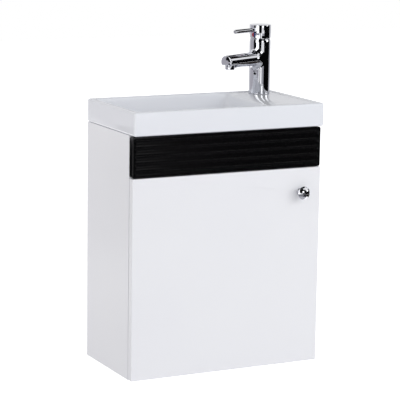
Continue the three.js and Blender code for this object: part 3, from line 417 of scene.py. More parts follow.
def eased(points: Sequence[tuple[float, float, float]], steps: int = 5) -> Outline:
    """Rounds the corners of an outline.

    Args:
        points: Radius, height and corner round of each point, in order.
        steps: Steps in each rounded corner.

    Returns:
        The outline with an arc in place of each corner that has a round.
    """
    made: Outline = []
    longest = 0.48
    for i, (radius, height, corner) in enumerate(points):
        here = Vector((radius, height))
        if corner <= 0 or i in (0, len(points) - 1):
            made.append((radius, height))
            continue
        before = Vector(points[i - 1][:2]) - here
        after = Vector(points[i + 1][:2]) - here
        turn = math.pi - before.angle(after)
        cut = min(
            corner * math.tan(turn / 2), before.length * longest, after.length * longest)
        start = here + before.normalized() * cut
        end = here + after.normalized() * cut
        for k in range(steps + 1):
            t = k / steps
            weight = math.cos(turn / 2)
            share = (1 - t) ** 2 + 2 * weight * t * (1 - t) + t ** 2
            spot = ((1 - t) ** 2 * start + 2 * weight * t * (1 - t) * here + t ** 2 * end)
            made.append(tuple(spot / share))
    return made


def upright(x: float, y: float) -> Matrix:
    """Places a turned piece on a vertical axis at x and y."""
    return Matrix.Translation((x, y, 0))


def facing_front(x: float, z: float) -> Matrix:
    """Places a turned piece on an axis that runs to the front at x and z."""
    return Matrix.Translation((x, 0, z)) @ Matrix.Rotation(math.radians(90), 4, "X")


@dataclass(frozen=True)
class Grip:
    """Ribs along a turned piece: how many, how deep, and between which heights."""

    ribs: int
    depth: float
    low: float
    high: float


def turned_mesh(
    outline: Outline, place: Matrix, sides: int = 96, grip: Grip | None = None,
) -> Part:
    """Turns an outline about its axis.

    Args:
        outline: Radius and height of each point; a ring if no end is on the axis.
        place: Where the axis lies.
        sides: Sides of the round.
        grip: Ribs on the outer side, or None.

    Returns:
        Points and faces.
    """
    points: list[Vector] = []
    rows: list[list[int]] = []
    ribbed_from = max(radius for radius, _ in outline) * 0.9
    for radius, height in outline:
        if radius < ON_AXIS:
            points.append(place @ Vector((0, 0, height)))
            rows.append([len(points) - 1] * sides)
            continue
        row = []
        for k in range(sides):
            angle = 2 * math.pi * k / sides
            sunk = 0.0
            if grip and grip.low <= height <= grip.high and radius > ribbed_from:
                sunk = grip.depth * (0.5 - 0.5 * math.cos(grip.ribs * angle)) ** 3
            reach = radius - sunk
            spot = Vector((reach * math.cos(angle), reach * math.sin(angle), height))
            points.append(place @ spot)
            row.append(len(points) - 1)
        rows.append(row)
    ring = outline[0][0] > ON_AXIS and outline[-1][0] > ON_AXIS
    pairs = list(zip(rows, rows[1:] + rows[:1])) if ring else list(zip(rows, rows[1:]))
    faces: Faces = []
    for low, high in pairs:
        for k in range(sides):
            n = (k + 1) % sides
            face = [low[k], low[n], high[n], high[k]]
            face = [v for i, v in enumerate(face) if v != face[i - 1]]
            if len(face) > 2:
                faces.append(face)
    return points, faces


def turned(
    name: str, outline: Outline, place: Matrix, sides: int = 96, grip: Grip | None = None,
    crease: float = CREASE,
) -> bpy.types.Object:
    """Makes a turned piece from its outline; the arguments are those of turned_mesh."""
    points, faces = turned_mesh(outline, place, sides, grip)
    return new_object(name, points, faces, crease)


def joined(name: str, *parts: Part) -> bpy.types.Object:
    """Makes one object from several sets of points and faces.

    Args:
        name: Name of the piece.
        *parts: Points and faces of each part.

    Returns:
        The new object.
    """
    points: list[Vector] = []
    faces: Faces = []
    for part_points, part_faces in parts:
        start = len(points)
        points.extend(part_points)
        faces.extend([[v + start for v in face] for face in part_faces])
    return new_object(name, points, faces)


def cut_away(piece: bpy.types.Object, *tools: bpy.types.Object) -> None:
    """Cuts tools out of a piece and removes the tools.

    Args:
        piece: Piece to cut.
        *tools: Closed objects that take their room out of it.
    """
    for tool in tools:
        cut = piece.modifiers.new("cut", "BOOLEAN")
        cut.operation = "DIFFERENCE"
        cut.solver = "EXACT"
        cut.object = tool
        bpy.context.view_layer.update()
        result = bpy.data.meshes.new_from_object(
            piece.evaluated_get(bpy.context.evaluated_depsgraph_get()))
        piece.modifiers.clear()
        piece.data = result
        bpy.data.objects.remove(tool)
    piece.data.shade_smooth()
    piece.data.set_sharp_from_angle(angle=math.radians(CREASE))


def spaced(*stretches: tuple[float, float, float]) -> np.ndarray:
    """Gives grid lines over stretches of a side.

    Args:
        *stretches: Start, end and largest step of each stretch, in order.

    Returns:
        Sorted places of the lines, each once.
    """
    lines = [
        np.linspace(start, end, max(2, math.ceil((end - start) / step) + 1))
        for start, end, step in stretches]
    return np.unique(np.round(np.concatenate(lines), 4))


def soft_min(a: np.ndarray, b: np.ndarray, width: float | np.ndarray) -> np.ndarray:
    """Gives the smaller of two heights with a smooth change from one to the other."""
    share = np.clip(0.5 + 0.5 * (b - a) / width, 0, 1)
    return b + (a - b) * share - width * share * (1 - share)


def soft_max(a: np.ndarray, b: np.ndarray, width: float | np.ndarray) -> np.ndarray:
    """Gives the larger of two heights with a smooth change from one to the other."""
    return -soft_min(-a, -b, width)


def smooth_step(value: np.ndarray) -> np.ndarray:
    """Runs smoothly from 0 to 1 while the value runs from 0 to 1."""
    share = np.clip(value, 0, 1)
    return share * share * (3 - 2 * share)


def sheet(
    x_lines: np.ndarray, y_lines: np.ndarray, height: Heights,
) -> tuple[np.ndarray, Faces]:
    """Makes a surface over a grid of lines.

    Args:
        x_lines: Places of the lines across.
        y_lines: Places of the lines from front to back.
        height: Gives the surface's height at each crossing.

    Returns:
        Points, in rows along x, and faces.
    """
    x, y = np.meshgrid(x_lines, y_lines)
    points = np.stack([x, y, height(x, y)], axis=-1).reshape(-1, 3)
    across = len(x_lines)
    faces = [
        [j * across + i, j * across + i + 1, (j + 1) * across + i + 1, (j + 1) * across + i]
        for j in range(len(y_lines) - 1) for i in range(across - 1)]
    return points, faces


@dataclass(frozen=True)
class EdgeWalk:
    """The way round a rectangle, with a fan of directions at each corner."""

    spots: np.ndarray
    ways: np.ndarray

    @staticmethod
    def round(x_lines: np.ndarray, y_lines: np.ndarray, fan: int = 6) -> "EdgeWalk":
        """Walks round the grid's edge from the front left corner.

        Args:
            x_lines: Places of the grid's lines across.
            y_lines: Places of the grid's lines from front to back.
            fan: Steps of the fan at each corner.

        Returns:
            Spot and outward direction of each stop.
        """
        left, right = x_lines[0], x_lines[-1]
        front, back = y_lines[0], y_lines[-1]
        sides = [
            ([(x, front) for x in x_lines], -90), ([(right, y) for y in y_lines], 0),
            ([(x, back) for x in x_lines[::-1]], 90),
            ([(left, y) for y in y_lines[::-1]], 180)]
        spots, ways = [], []
        for run, angle in sides:
            for spot in run:
                spots.append(spot)
                ways.append((math.cos(math.radians(angle)), math.sin(math.radians(angle))))
            for k in range(1, fan):
                turn = math.radians(angle + 90 * k / fan)
                spots.append(run[-1])
                ways.append((math.cos(turn), math.sin(turn)))
        return EdgeWalk(np.array(spots), np.array(ways))

    def ring(self, out: float, height: float) -> np.ndarray:
        """Gives the walk's points moved outwards, at one height."""
        spots = self.spots + self.ways * out
        return np.column_stack([spots, np.full(len(spots), height)])

    def rolled(
        self, out: float, height: float, radius: float, steps: int,
    ) -> list[np.ndarray]:
        """Gives the rings of an edge that rolls outwards and down.

        Args:
            out: How far out the roll starts.
            height: Height at which it starts.
            radius: Its radius.
            steps: Steps of the quarter turn.

        Returns:
            One ring for each step, from the top down.
        """
        angles = [math.radians(90 * k / steps) for k in range(1, steps + 1)]
        return [
            self.ring(out + radius * math.sin(a), height - radius * (1 - math.cos(a)))
            for a in angles]


def ring_faces(start: int, stops: int, rings: int) -> Faces:
    """Joins rings of points that follow each other.

    Args:
        start: Number of the first ring's first point.
        stops: Points in each ring.
        rings: How many rings there are.

    Returns:
        Faces between each ring and the next.
    """
    return [
        [start + r * stops + k, start + r * stops + (k + 1) % stops,
         start + (r + 1) * stops + (k + 1) % stops, start + (r + 1) * stops + k]
        for r in range(rings - 1) for k in range(stops)]


def skin(
    name: str, distance: Distance, low: Sequence[float],
    high: Sequence[float], cell: float, place: Matrix,
) -> bpy.types.Object:
    """Makes the surface of a form that is given by its distance function.

    The points are pulled onto the form and take its own slope as their normals, so
    that plated metal shows no facets.

    Args:
        name: Name of the piece.
        distance: Distance to the form at each point, below 0 inside.
        low: Lowest corner of the room that is searched.
        high: Highest corner.
        cell: Size of a search cell.
        place: Where the form lies.

    Returns:
        The new object.
    """
    axes = [np.arange(a, b + cell, cell) for a, b in zip(low, high)]
    grid = np.stack(np.meshgrid(*axes, indexing="ij"), axis=-1)
    inside = distance(grid.reshape(-1, 3)).reshape(grid.shape[:3])
    corners = [inside[i:len(axes[0]) - 1 + i, j:len(axes[1]) - 1 + j, k:len(axes[2]) - 1 + k]
               for i in (0, 1) for j in (0, 1) for k in (0, 1)]
    below = sum((c < 0).astype(int) for c in corners)
    mixed = (below > 0) & (below < 8)
    number = np.full(mixed.shape, -1)
    number[mixed] = np.arange(int(mixed.sum()))
    spots = grid[:-1, :-1, :-1][mixed] + cell / 2
    pulls, share = 6, 0.9
    for _ in range(pulls):
        slope = slope_of(distance, spots)
        spots = spots - slope * distance(spots)[:, None] * share
    quads = []
    for axis in range(3):
        other = [a for a in range(3) if a != axis]
        size = [len(a) - 1 for a in axes]
        first = [slice(1, size[a]) for a in range(3)]
        first[axis] = slice(0, size[axis])
        second = list(first)
        second[axis] = slice(1, size[axis] + 1)
        one, two = inside[tuple(first)], inside[tuple(second)]
        where = np.argwhere((one < 0) != (two < 0))
        leaves = one[tuple(where.T)] < 0
        for a in other:
            where[:, a] += 1
        ring = []
        for da, db in ((1, 1), (0, 1), (0, 0), (1, 0)):
            cells = where.copy()
            cells[:, other[0]] -= da
            cells[:, other[1]] -= db
            ring.append(number[tuple(cells.T)])
        face = np.stack(ring, axis=1)
        flip = leaves if axis != 1 else ~leaves
        face[~flip] = face[~flip][:, ::-1]
        quads.append(face)
    faces = np.concatenate(quads)
    turn = np.array(place.to_3x3())
    world = spots @ turn.T + np.array(place.translation) + (0, 0, UNDERSIDE)
    normals = slope_of(distance, spots) @ turn.T
    mesh = bpy.data.meshes.new(name)
    mesh.from_pydata((world * MM).tolist(), [], faces.tolist())
    mesh.validate()
    mesh.shade_smooth()
    mesh.normals_split_custom_set_from_vertices(normals.tolist())
    return link(bpy.data.objects.new(name, mesh))


def slope_of(distance: Distance, spots: np.ndarray) -> np.ndarray:
    """Gives the outward direction of a form at each spot.

    Args:
        distance: Distance to the form at each point.
        spots: Points, in millimetres.

    Returns:
        Directions of length 1.
    """
    step = 0.08
    parts = []
    for axis in range(3):
        shift = np.zeros(3)
        shift[axis] = step
        parts.append(distance(spots + shift) - distance(spots - shift))
    slope = np.stack(parts, axis=1)
    return slope / np.maximum(np.linalg.norm(slope, axis=1, keepdims=True), 1e-9)


def drum(
    spots: np.ndarray, axis: int, middle: Pair, radius: float,
    ends: Pair, round_mm: float,
) -> np.ndarray:
    """Distance to a drum with rounded edges.

    Args:
        spots: Points, in millimetres.
        axis: Axis that the drum runs along: 0, 1 or 2.
        middle: Where its axis crosses the other two axes.
        radius: Its radius.
        ends: Its two ends along the axis.
        round_mm: Round of its edges.

    Returns:
        Distance at each point, below 0 inside.
    """
    others = [a for a in range(3) if a != axis]
    out = np.hypot(spots[:, others[0]] - middle[0], spots[:, others[1]] - middle[1]) - radius
    half = (ends[1] - ends[0]) / 2
    along = np.abs(spots[:, axis] - (ends[0] + ends[1]) / 2) - half
    out, along = out + round_mm, along + round_mm
    outside = np.hypot(np.maximum(out, 0), np.maximum(along, 0))
    return np.minimum(np.maximum(out, along), 0) + outside - round_mm


@dataclass
class Carcass:
    """White cabinet: two sides, bottom, two rails along the wall, and the shelf."""

    board_edge: float = 0.8
    fitting_edge: float = 0.25

    def make(self) -> None:
        """Dresses the boards, the cam locks and the shelf pins."""
        for side in ("left", "right"):
            dress_node(f"side_panel_{side}", WHITE_LACQUER, self.board_edge)
            for end in ("back", "front"):
                dress_node(f"shelf_pin_{side}_{end}", ZINC_STEEL, self.fitting_edge)
        for name in ("bottom_panel", "hanging_rail", "lower_rail", "shelf"):
            dress_node(name, WHITE_MELAMINE, self.board_edge / 2)
        for number in range(1, 5):
            dress_node(f"cam_lock_{number}", ZINC_STEEL)


@dataclass
class Fascia:
    """Black board above the door, with five shallow flutes along it."""

    half_width: float = 198.5
    foot: float = 387.0
    top: float = 464.0
    back: float = -195.3
    thickness: float = 15.0
    corner: float = 4.0
    edge_round: float = 0.8
    first_flute: float = 11.2
    flute_pitch: float = 14.7
    flute_depth: float = 0.8
    flute_half_width: float = 3.4
    flutes: int = 5
    flute_fade: float = 3.0
    fine_strip: float = 6.0
    back_ease: float = 0.5

    def relief(self, x: np.ndarray, z: np.ndarray) -> np.ndarray:
        """Gives the flutes' height over the board's front, below 0 in a flute.

        Args:
            x: Places across.
            z: Heights.

        Returns:
            Height at each point.
        """
        depth = np.zeros_like(x)
        for k in range(self.flutes):
            middle = self.top - self.first_flute - k * self.flute_pitch
            depth += self.flute_depth * np.exp(-((z - middle) / self.flute_half_width) ** 2)
        fade = smooth_step((self.half_width - self.corner - np.abs(x)) / self.flute_fade)
        return -depth * fade

    def make(self) -> None:
        """Makes the fluted board and dresses its two brackets."""
        reach = self.corner
        outer = self.half_width - reach
        inner = outer - self.fine_strip
        x_lines = spaced(
            (-outer, -inner, 1.0), (-inner, inner, 24.0), (inner, outer, 1.0))
        z_lines = spaced((self.foot + reach, self.top - reach, 0.7))
        points, faces = sheet(x_lines, z_lines, self.relief)
        walk = EdgeWalk.round(x_lines, z_lines)
        flat = reach - self.edge_round
        ease = self.back_ease
        rings = [
            walk.ring(0, 0.0), walk.ring(flat, 0.0), *walk.rolled(flat, 0.0, self.edge_round, 5),
            walk.ring(reach, -self.thickness + ease), walk.ring(reach - ease, -self.thickness),
            walk.ring(0, -self.thickness)]
        stops = len(walk.spots)
        all_points = np.concatenate([points, *rings])
        faces += ring_faces(len(points), stops, len(rings))
        faces.append([len(all_points) - stops + k for k in range(stops)])
        front = self.back - self.thickness
        placed = np.column_stack([all_points[:, 0], front - all_points[:, 2], all_points[:, 1]])
        board = new_object("fascia_board", placed, faces)
        settle(board, Body.CABINET, BLACK_LACQUER, "fascia_panel")
        for side in ("left", "right"):
            dress_node(f"fascia_bracket_{side}", ZINC_STEEL, 0.3)


@dataclass
class Door:
    """Lacquered door with a turned knob and two rubber bumpers."""

    edge: float = 1.2
    top_raise: float = 1.6
    knob_x: float = 155.0
    knob_z: float = 339.5
    front: float = -212.3
    foot_radius: float = 7.5
    stem_radius: float = 5.0
    head_radius: float = 13.1
    head_back: float = 13.2
    head_rim: float = 15.8
    height: float = 21.6

    def knob(self) -> bpy.types.Object:
        """Makes the mushroom-shaped knob.

        Returns:
            The knob, turned in one piece with its foot and stem.
        """
        place = facing_front(self.knob_x, self.knob_z)
        start = -self.front
        outline: Outline = [(0, start)]
        outline += eased([
            (0, start, 0), (self.foot_radius, start, 0.2), (self.foot_radius, start + 1.6, 0.7),
            (self.stem_radius + 0.2, start + 2.6, 1.2), (self.stem_radius, start + 8, 2.5),
            (self.head_radius - 2.0, start + self.head_back, 1.4),
            (self.head_radius, start + self.head_back + 1.4, 0)])[1:]
        rim, bulge = start + self.head_rim, self.height - self.head_rim
        ball = (self.head_radius ** 2 + bulge ** 2) / (2 * bulge)
        for k in range(0, 19):
            out = self.head_radius * (1 - k / 18)
            outline.append((out, rim + bulge - ball + math.sqrt(ball ** 2 - out ** 2)))
        return turned("door_knob_turned", outline, place, sides=72, crease=50)

    def board(self) -> bpy.types.Object:
        """Makes the door's board with its bores, its top edge close below the fascia.

        Returns:
            The board, its edges eased.
        """
        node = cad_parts["door"]
        mesh = node.data.copy()
        mesh.name = "door_board"
        mesh.transform(node.matrix_world)
        top = max(point.co.z for point in mesh.vertices)
        for point in mesh.vertices:
            if point.co.z > top - 0.1 * MM:
                point.co.z += self.top_raise * MM
        made = link(bpy.data.objects.new("door_board", mesh))
        ease_edges(made, self.edge)
        return made

    def make(self) -> None:
        """Makes the board and the knob, and dresses the other fittings."""
        settle(self.board(), Body.DOOR, WHITE_LACQUER, "door")
        dress_node("knob_screw", ZINC_STEEL)
        for name in ("door_bumper_lower", "door_bumper_upper"):
            dress_node(name, BLACK_RUBBER, 0.6)
        settle(self.knob(), Body.DOOR, CHROME, "door_knob")


@dataclass
class Hinges:
    """Two concealed hinges, with the heads of the screws in their plates."""

    heights: Pair = (81.0, 304.5)
    plate_face: float = -181.7
    plate_screw_y: Pair = (-178.0, -146.0)
    plate_screw_z: float = 15.0
    head_radius: float = 3.6
    head_height: float = 1.5

    def screw(self, x: float, y: float, z: float) -> Part:
        """Gives one domed screw head on the plate, with a small round recess.

        Args:
            x: Place of the plate's face.
            y: Place from front to back.
            z: Height.

        Returns:
            Points and faces of the head.
        """
        turn = Matrix.Translation((x, y, z)) @ Matrix.Rotation(math.radians(90), 4, "Y")
        radius, height = self.head_radius, self.head_height
        return turned_mesh(
            [(0, height - 0.7), (0.9, height - 0.7), (1.3, height), (radius * 0.7, height * 0.9),
             (radius, height * 0.35), (radius, 0), (0, 0)], turn, sides=24)

    def make(self) -> None:
        """Dresses the hinge pieces and adds the plate screws."""
        for height, name in zip(self.heights, ("lower", "upper")):
            for part in ("plate", "arm", "pin", "cup"):
                dress_node(f"hinge_{part}_{name}", ZINC_STEEL, 0.25 if part != "cup" else 0)
            dress_node(f"hinge_link_{name}", ZINC_STEEL, 0.15)
            heads = [
                self.screw(self.plate_face, y, height + side * self.plate_screw_z)
                for y in self.plate_screw_y for side in (-1, 1)]
            settle(joined(f"hinge_screws_{name}", *heads), Body.CABINET, ZINC_STEEL)


@dataclass
class Basin:
    """Glazed basin: rim, bowl on the left, and a deck for the tap on the right."""

    half_width: float = 200.0
    depth: float = 220.0
    foot: float = 466.0
    top: float = 511.0
    corner: float = 4.6
    top_round: float = 4.2
    foot_round: float = 4.2
    skirt: float = 12.0
    rim: float = 10.0
    deck_recess: float = 1.5
    deck_left: float = 100.0
    deck_underside: float = 497.5
    lip_round: float = 8.0
    lip_fall: float = 5.0
    lip_reach: float = 34.0
    rim_round: float = 3.0
    rim_step: float = 2.4
    deck_lead: Pair = (6.0, 8.0)
    lip_roll: float = 1.3
    lip_inset: float = 22.0
    lip_lead: Pair = (30.0, 24.0)
    lip_widening: float = 25.0
    wall: float = 9.0
    under_rounds: Pair = (5.0, 8.0)
    floor: float = 436.0
    floor_fall: float = 1.2
    floor_round: float = 11.0
    floor_flat: float = 4.0
    floor_reach: float = 70.0
    waste: Pair = WASTE_AXIS
    waste_hole: float = 22.5
    waste_seat: float = 33.6
    seat_depth: float = 2.5
    tap: Pair = TAP_AXIS
    tap_hole: float = 17.5
    # Height, left, right, front, back and corner round of the bowl at each level
    levels: tuple[tuple[float, float, float, float, float, float], ...] = (
        (420.0, -120.0, 38.0, -140.0, -70.0, 20.0),
        (436.0, -153.0, 71.0, -164.0, -46.0, 30.0),
        (450.0, -167.0, 85.0, -178.0, -32.0, 30.0),
        (466.0, -174.0, 92.0, -185.0, -25.0, 23.0),
        (490.0, -182.6, 96.4, -198.4, -17.0, 15.0),
        (511.0, -190.0, 100.0, -210.0, -10.0, 10.0),
        (545.0, -202.0, 106.0, -229.0, 1.3, 8.0),
    )

    def bowl_height(self, x: np.ndarray, y: np.ndarray, grow: float) -> np.ndarray:
        """Finds the height of the bowl's wall over each point.

        Args:
            x: Places across.
            y: Places from front to back.
            grow: How far the wall is moved out and down, 0 for the inside.

        Returns:
            Height of the wall, between the lowest and the highest level.
        """
        table = np.array(self.levels)
        low = np.full(x.shape, table[0, 0] + 1.0)
        high = np.full(x.shape, table[-1, 0])
        for _ in range(30):
            middle = (low + high) / 2
            left, right, front, back, corner = (
                np.interp(middle, table[:, 0], table[:, k]) for k in range(1, 6))
            away_x = np.abs(x - (left + right) / 2) - (right - left) / 2 - grow + corner + grow
            away_y = np.abs(y - (front + back) / 2) - (back - front) / 2 - grow + corner + grow
            outside = np.hypot(np.maximum(away_x, 0), np.maximum(away_y, 0))
            away = np.minimum(np.maximum(away_x, away_y), 0) + outside - corner - grow
            inside = away < 0
            high = np.where(inside, middle, high)
            low = np.where(inside, low, middle)
        return (low + high) / 2 - grow

    def top_height(self, x: np.ndarray, y: np.ndarray) -> np.ndarray:
        """Gives the height of the glazed top: rim, deck and bowl in one surface.

        Args:
            x: Places across.
            y: Places from front to back.

        Returns:
            Height at each point.
        """
        to_edge = np.minimum(
            np.minimum(self.half_width - x, y + self.depth), -y) - self.rim
        deck_start, deck_width = self.deck_lead
        lip_start, lip_width = self.lip_lead
        step = smooth_step(to_edge / self.rim_step) * smooth_step(
            (x - self.deck_left + deck_start) / deck_width)
        roll = np.clip(1 - (x - self.deck_left) / self.lip_reach, 0, self.lip_roll) ** 2
        inward = smooth_step(to_edge / self.lip_inset) * smooth_step(
            (x - self.deck_left + lip_start) / lip_width)
        land = self.top - self.deck_recess * step - self.lip_fall * roll * inward
        bowl = self.bowl_height(x, y, 0.0)
        round_mm = self.rim_round + (self.lip_round - self.rim_round) * smooth_step(
            (x - self.deck_left + lip_start) / self.lip_widening)
        away = np.hypot(x - self.waste[0], y - self.waste[1])
        floor = self.floor + self.floor_fall * smooth_step(
            (away - self.waste_seat - self.floor_flat) / self.floor_reach)
        return soft_max(soft_min(land, bowl, round_mm * 2), floor, self.floor_round)

    def under_height(self, x: np.ndarray, y: np.ndarray) -> np.ndarray:
        """Gives the height of the underside, a wall's thickness below the bowl.

        Args:
            x: Places across.
            y: Places from front to back.

        Returns:
            Height at each point.
        """
        bowl = self.bowl_height(x, y, self.wall)
        upper, lower = self.under_rounds
        under = soft_min(np.full_like(x, self.deck_underside), bowl, upper)
        return soft_max(under, np.full_like(x, self.floor - self.wall), lower)

    def lines(self) -> tuple[np.ndarray, np.ndarray]:
        """Gives the grid lines, close together where the walls are steep.

        Returns:
            Places of the lines across, and from front to back.
        """
        inset = self.corner
        side, front = self.half_width - inset, -self.depth + inset
        inner = self.half_width - self.skirt
        x_lines = spaced(
            (-side, -inner, 1.2), (-inner, -148, 0.9), (-148, 62, 5.0), (62, 108, 0.8),
            (108, inner, 4.0), (inner, side, 1.2))
        y_lines = spaced(
            (front, front + self.skirt - inset, 1.2), (front + self.skirt - inset, -158, 1.0),
            (-158, -52, 5.0), (-52, -self.skirt, 0.9), (-self.skirt, -inset, 1.2))
        return x_lines, y_lines

    def shell(self) -> bpy.types.Object:
        """Makes the basin's closed shell without its holes.

        Returns:
            The shell.
        """
        x_lines, y_lines = self.lines()
        points, faces = sheet(x_lines, y_lines, self.top_height)
        walk = EdgeWalk.round(x_lines, y_lines)
        stops = len(walk.spots)
        flat = self.corner - self.top_round
        seam = self.top_height(walk.spots[:, 0], walk.spots[:, 1])
        rings = [np.column_stack([walk.spots, seam]), walk.ring(flat, self.top)]
        rings += walk.rolled(flat, self.top, self.top_round, 7)
        for k in range(0, 5):
            angle = math.radians(90 * k / 4)
            rings.append(walk.ring(
                self.corner - self.foot_round * (1 - math.cos(angle)),
                self.foot + self.foot_round * (1 - math.sin(angle))))
        inner_x = self.half_width - self.skirt
        spots = np.column_stack([
            np.clip(walk.spots[:, 0], -inner_x, inner_x),
            np.clip(walk.spots[:, 1], -self.depth + self.skirt, -self.skirt)])
        rings.append(np.column_stack([spots, np.full(stops, self.foot)]))
        heights = self.under_height(spots[:, 0], spots[:, 1])
        rings.append(np.column_stack([spots, heights]))
        under_x = x_lines[np.abs(x_lines) <= inner_x + 1e-6]
        under_y = y_lines[(y_lines >= -self.depth + self.skirt - 1e-6)
                          & (y_lines <= -self.skirt + 1e-6)]
        under, under_faces = sheet(under_x, under_y, self.under_height)
        outside = np.concatenate([points, *rings])
        faces += ring_faces(len(points), stops, len(rings))
        faces += [[v + len(outside) for v in face] for face in under_faces]
        return new_object("basin_shell", np.concatenate([outside, under]), faces)

    def make(self) -> None:
        """Makes the basin and cuts the waste's seat and both holes."""
        shell = self.shell()
        waste, tap = upright(*self.waste), upright(*self.tap)
        seat_foot = self.floor - self.seat_depth
        cut_away(
            shell,
            turned("waste_hole", [
                (0, self.floor - 20), (self.waste_hole, self.floor - 20),
                (self.waste_hole, seat_foot), (self.waste_seat, seat_foot),
                (self.waste_seat, self.floor + 2), (0, self.floor + 2)], waste),
            turned("tap_hole", [
                (0, self.deck_underside - 5), (self.tap_hole, self.deck_underside - 5),
                (self.tap_hole, self.top), (0, self.top)], tap))
        shell.name = "basin_glazed"
        settle(shell, Body.CABINET, GLAZED_CHINA, "basin")


@dataclass
class Waste:
    """Waste fitting in the bowl: flange with its tail, plug, gasket and back nut."""

    centre: Pair = WASTE_AXIS
    flange_radius: float = 32.0
    flange_foot: float = 433.8
    flange_top: float = 436.6
    tail_radius: float = 20.9
    bore: float = 16.0
    tail_foot: float = 380.6
    guide: Pair = (394.6, 402.6)
    guide_radius: float = 8.0
    guide_bore: float = 4.8
    spokes: int = 3
    spoke_width: float = 3.0
    thread_pitch: float = 2.0
    thread_depth: float = 0.5

    def flange(self) -> bpy.types.Object:
        """Makes the flange with its threaded tail, and the guide on three spokes.

        Returns:
            The flange, tail and guide as one piece.
        """
        outline = eased([
            (self.bore, self.tail_foot, 0), (self.tail_radius, self.tail_foot, 0.4)])
        height = self.tail_foot + 2
        while height < self.flange_foot - 6:
            outline += [(self.tail_radius, height), (self.tail_radius - self.thread_depth,
                        height + self.thread_pitch / 2)]
            height += self.thread_pitch
        outline += eased([
            (self.tail_radius, height, 0), (self.tail_radius, self.flange_foot, 0.4),
            (self.flange_radius, self.flange_foot, 0.4),
            (self.flange_radius, self.flange_top, 1.4),
            (self.bore + 5, self.flange_top - 0.3, 1.0),
            (self.bore, self.flange_top - 3, 1.5), (self.bore, self.tail_foot + 4, 0)])
        place = upright(*self.centre)
        shell = turned_mesh(outline, place, sides=96)
        low, high = self.guide
        hub = turned_mesh([
            (self.guide_bore, low), (self.guide_radius, low), (self.guide_radius, high),
            (self.guide_bore, high)], place, sides=36)
        arms = []
        for k in range(self.spokes):
            turn = place @ Matrix.Rotation(2 * math.pi * k / self.spokes, 4, "Z")
            half = self.spoke_width / 2
            corners = [
                turn @ Vector((x, y, z))
                for z in (low + 1, high - 1) for x in (self.guide_radius - 1, self.bore + 1)
                for y in (-half, half)]
            arms.append((corners, [
                [0, 1, 3, 2], [4, 6, 7, 5], [0, 4, 5, 1], [2, 3, 7, 6], [0, 2, 6, 4],
                [1, 5, 7, 3]]))
        return joined("waste_flange_turned", shell, hub, *arms)

    def plug(self) -> bpy.types.Object:
        """Makes the domed plug with its lower collar and stem."""
        return turned("waste_plug_turned", eased([
            (0, 390.6, 0), (4.5, 390.6, 0.8), (4.5, 430.5, 1.0), (12, 431.5, 1.0),
            (12, 436.9, 0.4), (28, 436.9, 0.5), (28, 439.0, 1.1), (22, 440.3, 6.0),
            (0, 440.4, 0)]), upright(*self.centre))

    def make(self) -> None:
        """Makes the waste's pieces."""
        place = upright(*self.centre)
        settle(self.flange(), Body.CABINET, CHROME, "waste_flange")
        settle(self.plug(), Body.PLUG, CHROME, "waste_plug")
        settle(turned("waste_gasket_moulded", eased([
            (21.2, 423.3, 0), (30, 423.3, 0.8), (30, 426.7, 0.8), (21.2, 426.7, 0)]), place),
            Body.CABINET, BLACK_RUBBER, "waste_gasket")
        nut = turned("waste_nut_moulded", eased([
            (21.2, 413, 0), (28.6, 413, 0.9), (28.6, 423, 0.9), (21.2, 423, 0)]),
            place, sides=6 * 20, grip=Grip(6, 3.2, 412, 424))
        settle(nut, Body.CABINET, WHITE_PLASTIC, "waste_nut")


